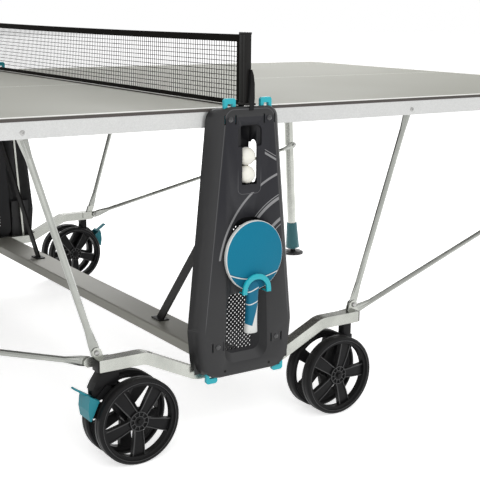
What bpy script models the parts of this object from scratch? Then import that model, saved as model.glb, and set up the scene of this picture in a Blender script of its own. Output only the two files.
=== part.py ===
"""Outdoor table tennis table with a roll-away folding chassis.

The origin is on the floor under the middle of the net. X runs along the
table, Y across it and Z up. Near is the -Y side, left is the -X side.
"""
import math

import bmesh
import bpy
from mathutils import Matrix, Vector

# Playing surface
TABLE_LENGTH = 2.740
TABLE_WIDTH = 1.525
TABLE_HEIGHT = 0.760
TOP_THICKNESS = 0.007
TOP_CORNER_RADIUS = 0.012
HALF_GAP = 0.020            # open joint between the two halves under the net
FIT = 0.0003                # gap between pieces that touch
HALF_WIDTH = TABLE_WIDTH / 2
TOP_UNDERSIDE = TABLE_HEIGHT - TOP_THICKNESS

# Steel surround under each half
SURROUND_INSET = 0.001
SURROUND_HEIGHT = 0.034
SURROUND_WALL = 0.002
SURROUND_FLANGE = 0.040
STIFFENER_WIDTH = 0.036
STIFFENER_DEPTH = 0.024
STIFFENER_STATIONS = (0.17, 0.56, 0.84)
SURROUND_TOP = TOP_UNDERSIDE - FIT
SURROUND_BOTTOM = SURROUND_TOP - SURROUND_HEIGHT
SURROUND_SIDE = HALF_WIDTH - SURROUND_INSET
PIVOT_Z = SURROUND_BOTTOM + 0.0129

# Casters
CASTER_X = 0.323
AXLE_X = 0.2746
WHEEL_RADIUS = 0.0973
WHEEL_WIDTH = 0.030
WHEEL_HEADROOM = 0.0198     # wheel top to the side tube
WHEEL_SPREAD = 0.0315       # caster middle plane to wheel middle plane
FORK_THICKNESS = 0.020
HOOD_HALF = 0.0152
STEM_RADIUS = 0.0095
AXLE_RADIUS = 0.006
HUB_RADIUS = 0.0225
RIM_DEPTH = 0.0173
SPOKES = 5
WHEEL_TURN = {("near", "left"): -90, ("near", "right"): 0, ("far", "left"): 20, ("far", "right"): -90}

# Chassis
TUBE_FACE = HALF_WIDTH + 0.0045
TUBE_DEPTH = 0.030
TUBE_HEIGHT = 0.0266
TUBE_END = 0.354
TUBE_DIP = 0.0605
TUBE_DIP_HALF = 0.112
TUBE_RISE_END = 0.240
TUBE_BEND_RADIUS = 0.060
TUBE_PLANE = TUBE_FACE - TUBE_DEPTH / 2
TUBE_UNDERSIDE = 2 * WHEEL_RADIUS + WHEEL_HEADROOM
TUBE_TOP_OUTER = TUBE_UNDERSIDE + TUBE_HEIGHT
TUBE_TOP_CENTRE = TUBE_TOP_OUTER - TUBE_DIP
BEAM_WIDTH = 0.0848
BEAM_HEIGHT = 0.026
BEAM_BOTTOM = TUBE_TOP_CENTRE - 0.0235
BEAM_TOP = BEAM_BOTTOM + BEAM_HEIGHT
BEAM_WALL = 0.003
BEAM_LIP = 0.010
BRACE_FOOT = 0.395
BRACE_WIDTH = 0.024
BRACE_THICKNESS = 0.005

# Fold linkage, given for the half on +X
LEG_HINGE = (TABLE_LENGTH / 2 - 0.236, SURROUND_BOTTOM - 0.0157)
ARM_PIN = (0.506, PIVOT_Z)  # arm to surround
ARM_FOOT = (0.352, TUBE_TOP_OUTER + 0.013)
ARM_RADIUS = 0.0076
LINK_FOOT = (0.366, TUBE_TOP_OUTER - 0.008)
LINK_RADIUS = 0.0068
LINK_PIN = (LEG_HINGE[0] + 0.047, LEG_HINGE[1] - 0.259)
PEG = (0.048, PIVOT_Z)      # guide shoe at the playing position
PEG_FOLDED_X = 0.082        # guide shoe when the half stands upright
PAD_RADIUS = 0.0125
PAD_THICKNESS = 0.006
LUG_THICKNESS = 0.0025
LINK_LUG_THICKNESS = 0.003
ARM_PLANE = SURROUND_SIDE - 0.013
ARM_FOOT_PLANE = TUBE_PLANE - 0.009
PEG_PIN_RADIUS = 0.005
SHOE_BLOCK_HALF = 0.012
SHOE_BLOCK_HEIGHT = 0.034
RAIL_WIDTH = 0.006
RAIL_DEPTH = (HALF_WIDTH + 0.003, HALF_WIDTH + 0.0135)
BAR_BOTTOM = TABLE_HEIGHT - 0.0100
BAR_TOP = TABLE_HEIGHT - 0.0035

# Legs
LEG_PLANE = HALF_WIDTH - 0.1125
LEG_RADIUS = 0.0170
LEG_TOP = (LEG_HINGE[0] + 0.0235, LEG_HINGE[1] + 0.011)
LEG_BOTTOM = (LEG_HINGE[0] + 0.0680, 0.030)
CROSS_TUBE_RADIUS = 0.011
HINGE_LUG_PLANE = LEG_PLANE - 0.050
HINGE_LUG_THICKNESS = 0.004
SHOE_LENGTH = 0.098
SHOE_WALL = 0.0035          # at the top of the shoe
SHOE_FLARE = 0.0065
FOOT_PAD_RADIUS = 0.042
FOOT_PAD_HEIGHT = 0.012
FOOT_STEM_RADIUS = 0.010

# Accessory panel, given by its outline on +X: top, widest point and bottom
PANEL_BACK = TUBE_FACE + 0.001
PANEL_THICKNESS = 0.032
PANEL_FRONT = PANEL_BACK + PANEL_THICKNESS
PANEL_WALL = 0.003
PANEL_EDGE = 0.006          # rounding of the front edge
FRONT_CORNERS = ((0.0670, TABLE_HEIGHT + 0.005), (0.1190, 0.2700), (0.1080, TUBE_TOP_CENTRE - 0.0225))
BACK_CORNERS = ((0.0925, TABLE_HEIGHT), (0.1400, 0.2700), (0.1300, TUBE_TOP_CENTRE - 0.0165))
CORNER_RADII = (0.026, 0.080, 0.040)

# Ball channel, from its mouth down
BALL_RADIUS = 0.020
BALL_GAP = 0.0005
CHANNEL_BACK = HALF_WIDTH + 0.0014
CHANNEL_HALF = BALL_RADIUS + 0.0007
CHANNEL_WALL = 0.0026
CHANNEL_SLOT_HALF = BALL_RADIUS - 0.0005
MOUTH_HALF = BALL_RADIUS + 0.0070
MOUTH_TOP = TABLE_HEIGHT - 0.0355
MOUTH_BOTTOM = MOUTH_TOP - 0.0455
UPPER_BALL_Z = MOUTH_BOTTOM - BALL_RADIUS - 0.0045
LOWER_BALL_Z = UPPER_BALL_Z - 2 * BALL_RADIUS - BALL_GAP
CHANNEL_BOTTOM = LOWER_BALL_Z - BALL_RADIUS - 0.0015
SIDE_WINDOW = (CHANNEL_BOTTOM + 0.0015, MOUTH_BOTTOM + 0.0110)
SIDE_WINDOW_RADIUS = 0.0130
BRACE_HEAD_Z = CHANNEL_BOTTOM + 0.0295

# Bat recess
RECESS_BOTTOM = 0.205
RECESS_TOP = 0.520
RECESS_CORNERS = ((-0.057, RECESS_BOTTOM), (0.046, RECESS_BOTTOM), (0.036, RECESS_TOP), (-0.038, RECESS_TOP))
RECESS_RADII = (0.008, 0.008, 0.034, 0.034)
RECESS_LEAN = 0.055         # how far the recess narrows per metre of height
RECESS_FLOOR = PANEL_FRONT - 0.018
MESH_TOP = 0.345
HOLE_PITCH = 0.0190
ROW_PITCH = 0.0125
HOLE_RADIUS = 0.0036
HOLE_TURN = math.radians(12)  # holes stand nearly on a corner

# Latches: distance of each from the middle, the height of its axis and of its free end
LATCH_X = 0.047
LATCH_LOW_X = 0.0900
LATCH_PLANE = PANEL_FRONT - 0.012
LATCH_THICKNESS = 0.008
LATCH_HALF = 0.0145
LATCH_GAP = 0.0010
LUG_HALF = 0.006
LATCH_AXIS_HIGH = TABLE_HEIGHT - 0.0235
LATCH_END_HIGH = TABLE_HEIGHT + 0.0220
LATCH_AXIS_LOW = TUBE_TOP_CENTRE + 0.0520
LATCH_END_LOW = TUBE_TOP_CENTRE - 0.0335

# Net and posts
NET_HEIGHT = 0.1525
NET_THICKNESS = 0.002
NET_SAG = 0.003
NET_COLUMNS = 18
NET_ROWS = 5
NET_CORD = 0.003
NET_TOP_TAPE = 0.015
NET_BOTTOM_TAPE = 0.007
NET_END_TAPE = 0.012
POST_WIDTH = 0.016
POST_SPAN = (HALF_WIDTH - 0.0030, HALF_WIDTH + 0.0400)
POST_TOP = TABLE_HEIGHT + 0.161
NET_END = POST_SPAN[0] - FIT

# Bat and its clip
BAT_CENTRE = (0.0095, 0.434)
BAT_TILT = math.radians(2.0)
BLADE_RADIUS = 0.0755
BLADE_LENGTH = 0.159
BLADE_THICKNESS = 0.011
HANDLE_LENGTH = 0.098
CLIP_X = BAT_CENTRE[0] - 0.001
CLIP_BASE = BAT_CENTRE[1] - 0.094
CLIP_SPRING = CLIP_BASE + 0.018
CLIP_OUTER = (0.0375, 0.037)
CLIP_INNER = (0.0265, 0.025)
CLIP_STANDOFF = 0.0130
CLIP_THICKNESS = 0.005
BAT_PLANE = PANEL_FRONT + FIT + BLADE_THICKNESS / 2

# Brake pedals: points about the axle as (degrees above the X axis, distance from the tread)
PEDAL_BODY = ((34.0, 0.0065), (30.5, 0.0065), (9.0, 0.0099), (9.5, 0.0135), (20.0, 0.0225),
              (29.0, 0.0290), (34.0, 0.0330))
PEDAL_SCOOP = ((38.0, 0.0105), (26.0, 0.0105), (26.0, 0.0225), (38.0, 0.0290))
PEDAL_TAB = ((32.4, 0.0250), (33.0, 0.0660), (34.4, 0.0650), (34.4, 0.0250))
PEDAL_CHEEK = ((57.64, 0.0006), (51.63, -0.0097), (29.02, 0.0072), (32.50, 0.0120), (53.40, 0.0107))
PEDAL_PIVOT = (52.49, 0.0019)
PEDAL_HALF = 0.025
PEDAL_WALL = 0.004
TAB_HALF = 0.008
CHEEK_THICKNESS = 0.004

LINK_BASE_PLANE = TUBE_PLANE - TUBE_DEPTH / 2 - LINK_LUG_THICKNESS - FIT - PAD_THICKNESS / 2
LINK_LEG_PLANE = LEG_PLANE - LEG_RADIUS - FIT - PAD_THICKNESS / 2

TUBE_FINISH = ("galvanised steel", (0.66, 0.67, 0.64), 0.35, 0.85)
FINISHES = {
    "top": ("grey resin laminate", (0.50, 0.50, 0.46), 0.45, 0.0),
    "surround": ("silver steel", (0.78, 0.79, 0.79), 0.40, 0.6),
    "tube": TUBE_FINISH,
    "beam": ("taupe steel", (0.30, 0.30, 0.27), 0.45, 0.3),
    "black_steel": ("black steel", (0.02, 0.02, 0.02), 0.45, 0.2),
    "panel": ("charcoal moulding", (0.045, 0.045, 0.050), 0.55, 0.0),
    "turquoise": ("turquoise plastic", (0.02, 0.42, 0.48), 0.40, 0.0),
    "teal": ("teal plastic", (0.03, 0.16, 0.18), 0.45, 0.0),
    "pedal": ("light teal plastic", (0.05, 0.27, 0.32), 0.45, 0.0),
    "wheel": ("black plastic", (0.015, 0.015, 0.016), 0.40, 0.0),
    "net": ("black net", (0.02, 0.02, 0.02), 0.80, 0.0),
    "bat": ("blue bat", (0.02, 0.22, 0.38), 0.50, 0.0),
    "ball": ("ivory ball", (0.80, 0.79, 0.70), 0.35, 0.0),
}


def clear_scene():
    for obj in list(bpy.data.objects):
        bpy.data.objects.remove(obj, do_unlink=True)


def material(key):
    name, colour, roughness, metallic = FINISHES[key]
    found = bpy.data.materials.get(name)
    if found:
        return found
    made = bpy.data.materials.new(name)
    made.use_nodes = True
    shader = made.node_tree.nodes["Principled BSDF"]
    shader.inputs["Base Color"].default_value = (*colour, 1.0)
    shader.inputs["Roughness"].default_value = roughness
    shader.inputs["Metallic"].default_value = metallic
    return made


def loft(rings, looped=False):
    """Skin a list of rings with the same number of points each."""
    bm = bmesh.new()
    loops = [[bm.verts.new(point) for point in ring] for ring in rings]
    count = len(loops[0])
    pairs = list(zip(loops, loops[1:]))
    if looped:
        pairs.append((loops[-1], loops[0]))
    for first, second in pairs:
        for i in range(count):
            j = (i + 1) % count
            bm.faces.new((first[i], first[j], second[j], second[i]))
    if not looped:
        bm.faces.new(loops[0])
        bm.faces.new(loops[-1])
    bmesh.ops.recalc_face_normals(bm, faces=bm.faces)
    return bm


def prism(outline, low, high, axis="Y"):
    """Extrude an outline; its two coordinates are the axes left over, in X, Y, Z order."""
    def point(pair, level):
        a, b = pair
        if axis == "X":
            return (level, a, b)
        if axis == "Y":
            return (a, level, b)
        return (a, b, level)
    return loft([[point(pair, level) for pair in outline] for level in (low, high)])


def box(low, high):
    outline = ((low[0], low[2]), (high[0], low[2]), (high[0], high[2]), (low[0], high[2]))
    return prism(outline, low[1], high[1])


def disc(centre, radius, low, high, segments=16):
    """Cylinder along Y about a point of the XZ plane."""
    return prism(circle(centre, radius, segments), low, high)


def circle(centre, radius, segments):
    turns = [2 * math.pi * (i + 0.5) / segments for i in range(segments)]
    return [(centre[0] + radius * math.cos(t), centre[1] + radius * math.sin(t)) for t in turns]


def turned(profile, segments, looped):
    """Spin a profile of (radius, along) about the local Z axis."""
    rings = []
    for i in range(segments):
        angle = 2 * math.pi * i / segments
        rings.append([(r * math.cos(angle), r * math.sin(angle), a) for r, a in profile])
    if looped:
        bm = loft(rings, looped=True)
        return bm
    bm = bmesh.new()
    loops = []
    for r, a in profile:
        points = [(r * math.cos(2 * math.pi * i / segments), r * math.sin(2 * math.pi * i / segments), a)
                  for i in range(segments)]
        loops.append([bm.verts.new(p) for p in points])
    for first, second in zip(loops, loops[1:]):
        for i in range(segments):
            j = (i + 1) % segments
            bm.faces.new((first[i], first[j], second[j], second[i]))
    bm.faces.new(loops[0])
    bm.faces.new(loops[-1])
    bmesh.ops.recalc_face_normals(bm, faces=bm.faces)
    return bm


def moved(bm, matrix):
    bmesh.ops.transform(bm, matrix=matrix, verts=bm.verts)
    return bm


def rounded(corners, radii, steps):
    """Round the corners of a closed outline with arcs."""
    points = []
    count = len(corners)
    for i, corner in enumerate(corners):
        here = Vector(corner)
        back = (Vector(corners[i - 1]) - here).normalized()
        ahead = (Vector(corners[(i + 1) % count]) - here).normalized()
        half = back.angle(ahead) / 2
        reach = radii[i] / math.tan(half)
        centre = here + (back + ahead).normalized() * (radii[i] / math.sin(half))
        start = here + back * reach - centre
        sweep = math.pi - 2 * half
        turn = 1 if back.x * ahead.y - back.y * ahead.x < 0 else -1
        for k in range(steps[i] + 1):
            angle = turn * sweep * k / steps[i]
            cos, sin = math.cos(angle), math.sin(angle)
            spot = centre + Vector((start.x * cos - start.y * sin, start.x * sin + start.y * cos))
            points.append((spot.x, spot.y))
    return points


def to_object(name, bm, finish, origin=(0, 0, 0), smooth=35):
    mesh = bpy.data.meshes.new(name)
    bmesh.ops.translate(bm, verts=bm.verts, vec=-Vector(origin))
    bm.to_mesh(mesh)
    bm.free()
    mesh.materials.append(material(finish))
    mesh.shade_smooth()
    mesh.set_sharp_from_angle(angle=math.radians(smooth))
    obj = bpy.data.objects.new(name, mesh)
    obj.location = origin
    bpy.context.scene.collection.objects.link(obj)
    return obj


def combine(base, others, operation):
    """Union or difference of bmeshes through Boolean modifiers."""
    holder = to_object("work_base", base, "tube")
    for other in others:
        tool = to_object("work_tool", other, "tube")
        modifier = holder.modifiers.new("shape", "BOOLEAN")
        modifier.operation = operation
        modifier.solver = "EXACT"
        modifier.object = tool
        graph = bpy.context.evaluated_depsgraph_get()
        result = bpy.data.meshes.new_from_object(holder.evaluated_get(graph))
        holder.modifiers.clear()
        holder.data = result
        bpy.data.objects.remove(tool, do_unlink=True)
    bm = bmesh.new()
    bm.from_mesh(holder.data)
    bpy.data.objects.remove(holder, do_unlink=True)
    bmesh.ops.remove_doubles(bm, verts=bm.verts, dist=0.00001)
    bmesh.ops.dissolve_limit(bm, angle_limit=math.radians(0.5), verts=bm.verts, edges=bm.edges)
    return bm


def union(first, *others):
    return combine(first, others, "UNION")


def cut(first, *others):
    return combine(first, others, "DIFFERENCE")


def mirrored(obj, name, flip_x, flip_y):
    """Copy of an object on the other side of the X = 0 or Y = 0 plane."""
    sx = -1 if flip_x else 1
    sy = -1 if flip_y else 1
    bm = bmesh.new()
    bm.from_mesh(obj.data)
    bmesh.ops.scale(bm, vec=(sx, sy, 1), verts=bm.verts)
    if sx * sy < 0:
        bmesh.ops.reverse_faces(bm, faces=bm.faces)
    mesh = bpy.data.meshes.new(name)
    bm.to_mesh(mesh)
    bm.free()
    mesh.materials.append(obj.data.materials[0])
    mesh.shade_smooth()
    mesh.set_sharp_from_angle(angle=math.radians(35))
    copy = bpy.data.objects.new(name, mesh)
    copy.location = (obj.location.x * sx, obj.location.y * sy, obj.location.z)
    bpy.context.scene.collection.objects.link(copy)
    return copy


SIDES = {"near": -1, "far": 1}
ENDS = {"left": -1, "right": 1}


def four_corners(name, build):
    """Build the piece at near right and mirror it to the other three corners."""
    first = build(f"{name}_near_right")
    mirrored(first, f"{name}_near_left", True, False)
    mirrored(first, f"{name}_far_right", False, True)
    mirrored(first, f"{name}_far_left", True, True)
    return first


def two_sides(name, build):
    first = build(f"{name}_near")
    mirrored(first, f"{name}_far", False, True)
    return first


def two_ends(name, build):
    first = build(f"{name}_right")
    mirrored(first, f"{name}_left", True, False)
    return first


def table_top(name):
    half = HALF_WIDTH
    near_end = HALF_GAP / 2
    far_end = TABLE_LENGTH / 2
    corners = ((near_end, -half), (far_end, -half), (far_end, half), (near_end, half))
    radii = (0.002, TOP_CORNER_RADIUS, TOP_CORNER_RADIUS, 0.002)
    outline = rounded(corners, radii, (1, 5, 5, 1))
    bm = prism(outline, TOP_UNDERSIDE, TABLE_HEIGHT, axis="Z")
    return to_object(name, bm, "top", (PEG[0], 0, PEG[1]))


def surround(name):
    """Angle-section steel surround with cross stiffeners, pivot bushes and hinge lugs."""
    x0 = HALF_GAP / 2 + SURROUND_INSET
    x1 = TABLE_LENGTH / 2 - SURROUND_INSET
    side = SURROUND_SIDE
    top = SURROUND_TOP
    section = ((0, SURROUND_BOTTOM), (0, top), (SURROUND_FLANGE, top),
               (SURROUND_FLANGE, top - SURROUND_WALL), (SURROUND_WALL, top - SURROUND_WALL),
               (SURROUND_WALL, SURROUND_BOTTOM))
    corners = ((x0, -side, 1, 1), (x1, -side, -1, 1), (x1, side, -1, -1), (x0, side, 1, -1))
    rings = [[(x + inward_x * inset, y + inward_y * inset, z) for inset, z in section]
             for x, y, inward_x, inward_y in corners]
    ring = loft(rings, looped=True)
    reach = side - SURROUND_FLANGE + 0.010
    stiffeners = []
    for station in (*STIFFENER_STATIONS, LEG_HINGE[0]):
        low = (station - STIFFENER_WIDTH / 2, -reach, top - 0.001 - STIFFENER_DEPTH)
        high = (station + STIFFENER_WIDTH / 2, reach, top - 0.001)
        stiffeners.append(box(low, high))
    fittings = []
    for sign in SIDES.values():
        inner = ARM_PLANE + PAD_THICKNESS / 2 + FIT
        fittings.append(disc(ARM_PIN, 0.007, *sorted((sign * inner, sign * (side - 0.001))), 10))
        fittings.append(disc(PEG, 0.0105, *sorted((sign * (side - 0.010), sign * (side - 0.001))), 12))
        half = HINGE_LUG_THICKNESS / 2
        plate = sorted((sign * (HINGE_LUG_PLANE - half), sign * (HINGE_LUG_PLANE + half)))
        lug = ((LEG_HINGE[0] - 0.017, top - 0.010), (LEG_HINGE[0] - 0.017, LEG_HINGE[1] - 0.006),
               (LEG_HINGE[0] - 0.009, LEG_HINGE[1] - 0.016), (LEG_HINGE[0] + 0.009, LEG_HINGE[1] - 0.016),
               (LEG_HINGE[0] + 0.017, LEG_HINGE[1] - 0.006), (LEG_HINGE[0] + 0.017, top - 0.010))
        fittings.append(prism(lug, *plate))
    body = union(ring, *stiffeners, *fittings)
    bores = []
    for sign in SIDES.values():
        plate = sorted((sign * (HINGE_LUG_PLANE - HINGE_LUG_THICKNESS), sign * (HINGE_LUG_PLANE + HINGE_LUG_THICKNESS)))
        bores.append(disc(LEG_HINGE, CROSS_TUBE_RADIUS + FIT, *plate, 16))
        bores.append(disc(PEG, PEG_PIN_RADIUS + FIT, *sorted((sign * (side - 0.012), sign * (side + 0.004))), 12))
    return to_object(name, cut(body, *bores), "surround", (PEG[0], 0, PEG[1]))


def guide_shoe(name):
    """Slider in the upright, with the peg that carries the inner end of a half."""
    half = SHOE_BLOCK_HEIGHT / 2
    block = [(peg_x(z) + side * SHOE_BLOCK_HALF, z)
             for z, side in ((PEG[1] - half, -1), (PEG[1] - half, 1), (PEG[1] + half, 1), (PEG[1] + half, -1))]
    peg = disc(PEG, PEG_PIN_RADIUS, -RAIL_DEPTH[0] - 0.002, -(SURROUND_SIDE - 0.012), 12)
    collar = disc(PEG, 0.008, -RAIL_DEPTH[0] - 0.002, -(SURROUND_SIDE + 2 * FIT + 0.001), 12)
    body = union(prism(block, -RAIL_DEPTH[1], -RAIL_DEPTH[0]), peg, collar)
    return to_object(name, body, "black_steel", (PEG[0], -RAIL_DEPTH[0], PEG[1]))


def strut_ring(centre, along, side_half, plane_half, segments=10):
    """Elliptic ring across a strut; plane_half is its half size in the XZ plane."""
    across = Vector((-along.z, 0, along.x)).normalized()
    points = []
    for i in range(segments):
        angle = 2 * math.pi * (i + 0.5) / segments
        spot = centre + across * plane_half * math.cos(angle) + Vector((0, side_half * math.sin(angle), 0))
        points.append(tuple(spot))
    return points


def strut(foot, head, foot_plane, head_plane, radius, level=0.055):
    """Round tube with flattened, rounded ends, each end lying in its own plane."""
    start = Vector((foot[0], -foot_plane, foot[1]))
    end = Vector((head[0], -head_plane, head[1]))
    along = Vector((end.x - start.x, 0, end.z - start.z))
    length = along.length
    along.normalize()
    flat = PAD_THICKNESS / 2
    tip = PAD_RADIUS
    ends = ((-0.97 * tip, 0.7 * flat, 0.25 * tip), (-0.75 * tip, flat, 0.67 * tip), (-0.3 * tip, flat, 0.95 * tip),
            (1.3 * tip, flat, 0.95 * tip), (level, radius, radius))
    stations = [(distance, start.y, side, plane) for distance, side, plane in ends]
    stations += [(length - distance, end.y, side, plane) for distance, side, plane in reversed(ends)]
    rings = []
    for distance, y, side_half, plane_half in stations:
        centre = Vector((start.x, y, start.z)) + along * distance
        rings.append(strut_ring(Vector((centre.x, y, centre.z)), along, side_half, plane_half))
    return loft(rings)


def arm(name):
    body = strut(ARM_FOOT, ARM_PIN, ARM_FOOT_PLANE, ARM_PLANE, ARM_RADIUS)
    return to_object(name, body, "tube", (ARM_PIN[0], -ARM_PLANE, ARM_PIN[1]))


def link(name):
    body = strut(LINK_FOOT, LINK_PIN, LINK_BASE_PLANE, LINK_LEG_PLANE, LINK_RADIUS)
    return to_object(name, body, "tube", (LINK_FOOT[0], -LINK_BASE_PLANE, LINK_FOOT[1]))


def leg_axis():
    """Unit vector down the leg."""
    return Vector((LEG_BOTTOM[0] - LEG_TOP[0], 0, LEG_BOTTOM[1] - LEG_TOP[1])).normalized()


def along_leg(radius, first, last, plane, segments):
    """Cylinder on the leg's axis between two distances from its top."""
    top = Vector((LEG_TOP[0], plane, LEG_TOP[1]))
    rings = [strut_ring(top + leg_axis() * d, leg_axis(), radius, radius, segments) for d in (first, last)]
    return loft(rings)


def leg_length():
    return math.dist(LEG_TOP, LEG_BOTTOM)


def leg_frame(name):
    cross = disc(LEG_HINGE, CROSS_TUBE_RADIUS, -LEG_PLANE, LEG_PLANE, 16)
    legs = [along_leg(LEG_RADIUS, 0, leg_length(), sign * LEG_PLANE, 14) for sign in SIDES.values()]
    return to_object(name, union(cross, *legs), "tube", (LEG_HINGE[0], 0, LEG_HINGE[1]))


def leg_foot(name):
    """Flared shoe over the end of the leg, on a wide levelling pad."""
    bottom = Vector((LEG_BOTTOM[0], -LEG_PLANE, LEG_BOTTOM[1]))
    down = leg_axis()
    top = LEG_RADIUS + SHOE_WALL
    base = top + SHOE_FLARE
    shoe = loft([strut_ring(bottom - down * SHOE_LENGTH, down, top, top, 16),
                 strut_ring(bottom + down * 0.004, down, base, base, 16)])
    pad_profile = ((FOOT_STEM_RADIUS, 0.030), (FOOT_STEM_RADIUS, FOOT_PAD_HEIGHT + 0.0015),
                   (FOOT_PAD_RADIUS - 0.008, FOOT_PAD_HEIGHT), (FOOT_PAD_RADIUS, FOOT_PAD_HEIGHT - 0.005),
                   (FOOT_PAD_RADIUS - 0.001, 0.0))
    pad = moved(turned(pad_profile, 18, False), Matrix.Translation((LEG_BOTTOM[0] + 0.002, -LEG_PLANE, 0)))
    socket = along_leg(LEG_RADIUS + FIT, leg_length() - 0.110, leg_length() + FIT, -LEG_PLANE, 14)
    body = cut(union(shoe, pad), socket)
    return to_object(name, body, "teal", (LEG_HINGE[0], -LEG_PLANE, LEG_HINGE[1]))


def gull_wing():
    """Side tube outline in the XZ plane: raised ends and a low middle."""
    def edge(shift):
        raw = ((-TUBE_END, TUBE_TOP_OUTER), (-TUBE_RISE_END, TUBE_TOP_OUTER), (-TUBE_DIP_HALF, TUBE_TOP_CENTRE),
               (TUBE_DIP_HALF, TUBE_TOP_CENTRE), (TUBE_RISE_END, TUBE_TOP_OUTER), (TUBE_END, TUBE_TOP_OUTER))
        slope = math.atan2(TUBE_TOP_OUTER - TUBE_TOP_CENTRE, TUBE_RISE_END - TUBE_DIP_HALF)
        slide = shift * math.tan(slope / 2)
        points = []
        for x, z in raw:
            nudge = 0 if abs(x) == TUBE_END else math.copysign(slide, x)
            points.append((x + nudge, z - shift))
        return points
    top = edge(0)
    bottom = edge(TUBE_HEIGHT)
    outline = top + bottom[::-1]
    bend = TUBE_BEND_RADIUS
    over, under = bend, bend - TUBE_HEIGHT
    radii = [0.001, over, under, under, over, 0.001, 0.001, under, over, over, under, 0.001]
    steps = [1, 4, 4, 4, 4, 1, 1, 4, 4, 4, 4, 1]
    return rounded(outline, radii, steps)


def folded_peg_height():
    """Height of the guide shoe when the half stands upright on its arms."""
    arm_length = math.dist(ARM_PIN, ARM_FOOT)
    rise = math.sqrt(arm_length ** 2 - (ARM_FOOT[0] - PEG_FOLDED_X) ** 2)
    return ARM_FOOT[1] + rise - (ARM_PIN[0] - PEG[0])


def peg_x(z):
    """Distance of the guide shoe's peg from the net plane when it is at a height."""
    share = (PEG[1] - z) / (PEG[1] - folded_peg_height())
    return PEG[0] + share * (PEG_FOLDED_X - PEG[0])


def lug_outline(sign, points):
    return [(sign * x, z) for x, z in points]


def side_frame(name):
    """Gull-wing side tube with the lugs at its ends and the upright that guides the shoes."""
    low = -TUBE_PLANE - TUBE_DEPTH / 2
    high = -TUBE_PLANE + TUBE_DEPTH / 2
    tube = prism(gull_wing(), low, high)
    pieces = []
    arm_x, arm_z = ARM_FOOT
    link_x, link_z = LINK_FOOT
    seat = TUBE_TOP_OUTER - 0.004
    arm_lug = ((arm_x - 0.018, seat), (arm_x - 0.011, arm_z + 0.006), (arm_x - 0.004, arm_z + 0.011),
               (arm_x + 0.004, arm_z + 0.011), (arm_x + 0.011, arm_z + 0.004), (TUBE_END, seat))
    link_lug = ((link_x - 0.048, link_z - 0.012), (link_x - 0.048, link_z + 0.008), (link_x + 0.004, link_z + 0.010),
                (link_x + 0.011, link_z + 0.003), (link_x + 0.011, link_z - 0.005), (link_x + 0.004, link_z - 0.012))
    rail_low = TUBE_TOP_CENTRE - 0.007
    rail_high = BAR_BOTTOM + 0.001
    for sign in ENDS.values():
        reach = PAD_THICKNESS / 2 + FIT
        for side in (1, -1):
            faces = sorted((-ARM_FOOT_PLANE + side * reach, -ARM_FOOT_PLANE + side * (reach + LUG_THICKNESS)))
            pieces.append(prism(lug_outline(sign, arm_lug), *faces))
        pieces.append(prism(lug_outline(sign, link_lug), high - 0.001, high + LINK_LUG_THICKNESS))
        rail = [(peg_x(z) + SHOE_BLOCK_HALF + 2 * FIT + shift, z)
                for z, shift in ((rail_low, 0), (rail_low, RAIL_WIDTH), (rail_high, RAIL_WIDTH), (rail_high, 0))]
        pieces.append(prism(lug_outline(sign, rail), -RAIL_DEPTH[1], -RAIL_DEPTH[0]))
    half = peg_x(BAR_BOTTOM) + SHOE_BLOCK_HALF + 2 * FIT + RAIL_WIDTH
    pieces.append(box((-half, -RAIL_DEPTH[1], BAR_BOTTOM), (half, -RAIL_DEPTH[0], BAR_TOP)))
    return to_object(name, union(tube, *pieces), "tube")


def crossbeam(name):
    """Inverted channel between the side tubes, with its lower edges turned in."""
    half = BEAM_WIDTH / 2
    low = BEAM_BOTTOM
    high = BEAM_TOP
    wall = BEAM_WALL
    outline = ((-half, low), (-half + BEAM_LIP, low), (-half + BEAM_LIP, low + wall), (-half + wall, low + wall),
               (-half + wall, high - wall), (half - wall, high - wall), (half - wall, low + wall),
               (half - BEAM_LIP, low + wall), (half - BEAM_LIP, low), (half, low), (half, high - 0.003),
               (half - 0.003, high), (-half + 0.003, high), (-half, high - 0.003))
    reach = TUBE_PLANE - TUBE_DEPTH / 2 - FIT
    return to_object(name, prism(outline, -reach, reach), "beam")


def brace(name):
    """Flat diagonal from the crossbeam up to the back of the panel."""
    foot_z = BEAM_TOP + FIT
    foot = Vector((-BRACE_FOOT, foot_z))
    head = Vector((-(CHANNEL_BACK - FIT), BRACE_HEAD_Z))
    along = (head - foot).normalized()
    step = BRACE_WIDTH / 2 / abs(along.x)
    spread = BRACE_WIDTH / 2 / along.y
    outline = [(foot.x - spread, foot.y), (foot.x + spread, foot.y), (head.x, head.y + step),
               (head.x, head.y - step)]
    bar = prism(outline, -BRACE_THICKNESS / 2, BRACE_THICKNESS / 2, axis="X")
    plate = box((-0.014, foot.x - 0.024, foot_z), (0.014, foot.x + 0.020, foot_z + 0.003))
    return to_object(name, union(bar, plate), "black_steel")


def panel_ring(depth, inset):
    """Outline of the panel at a distance from the long centre plane."""
    share = (depth - PANEL_BACK) / (PANEL_FRONT - PANEL_BACK)
    right = []
    for front, back in zip(FRONT_CORNERS, BACK_CORNERS):
        x = back[0] + share * (front[0] - back[0])
        z = back[1] + share * (front[1] - back[1])
        right.append((x, z))
    top_z = right[0][1] - inset
    bottom_z = right[2][1] + inset
    corners = [(right[0][0] - inset, top_z), (right[1][0] - inset, right[1][1]), (right[2][0] - inset, bottom_z)]
    corners += [(-x, z) for x, z in reversed(corners)]
    radii = [max(r - inset, 0.004) for r in CORNER_RADII]
    outline = rounded(corners, radii + radii[::-1], (5, 3, 4, 4, 3, 5))
    return [(x, -depth, z) for x, z in outline]


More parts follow.
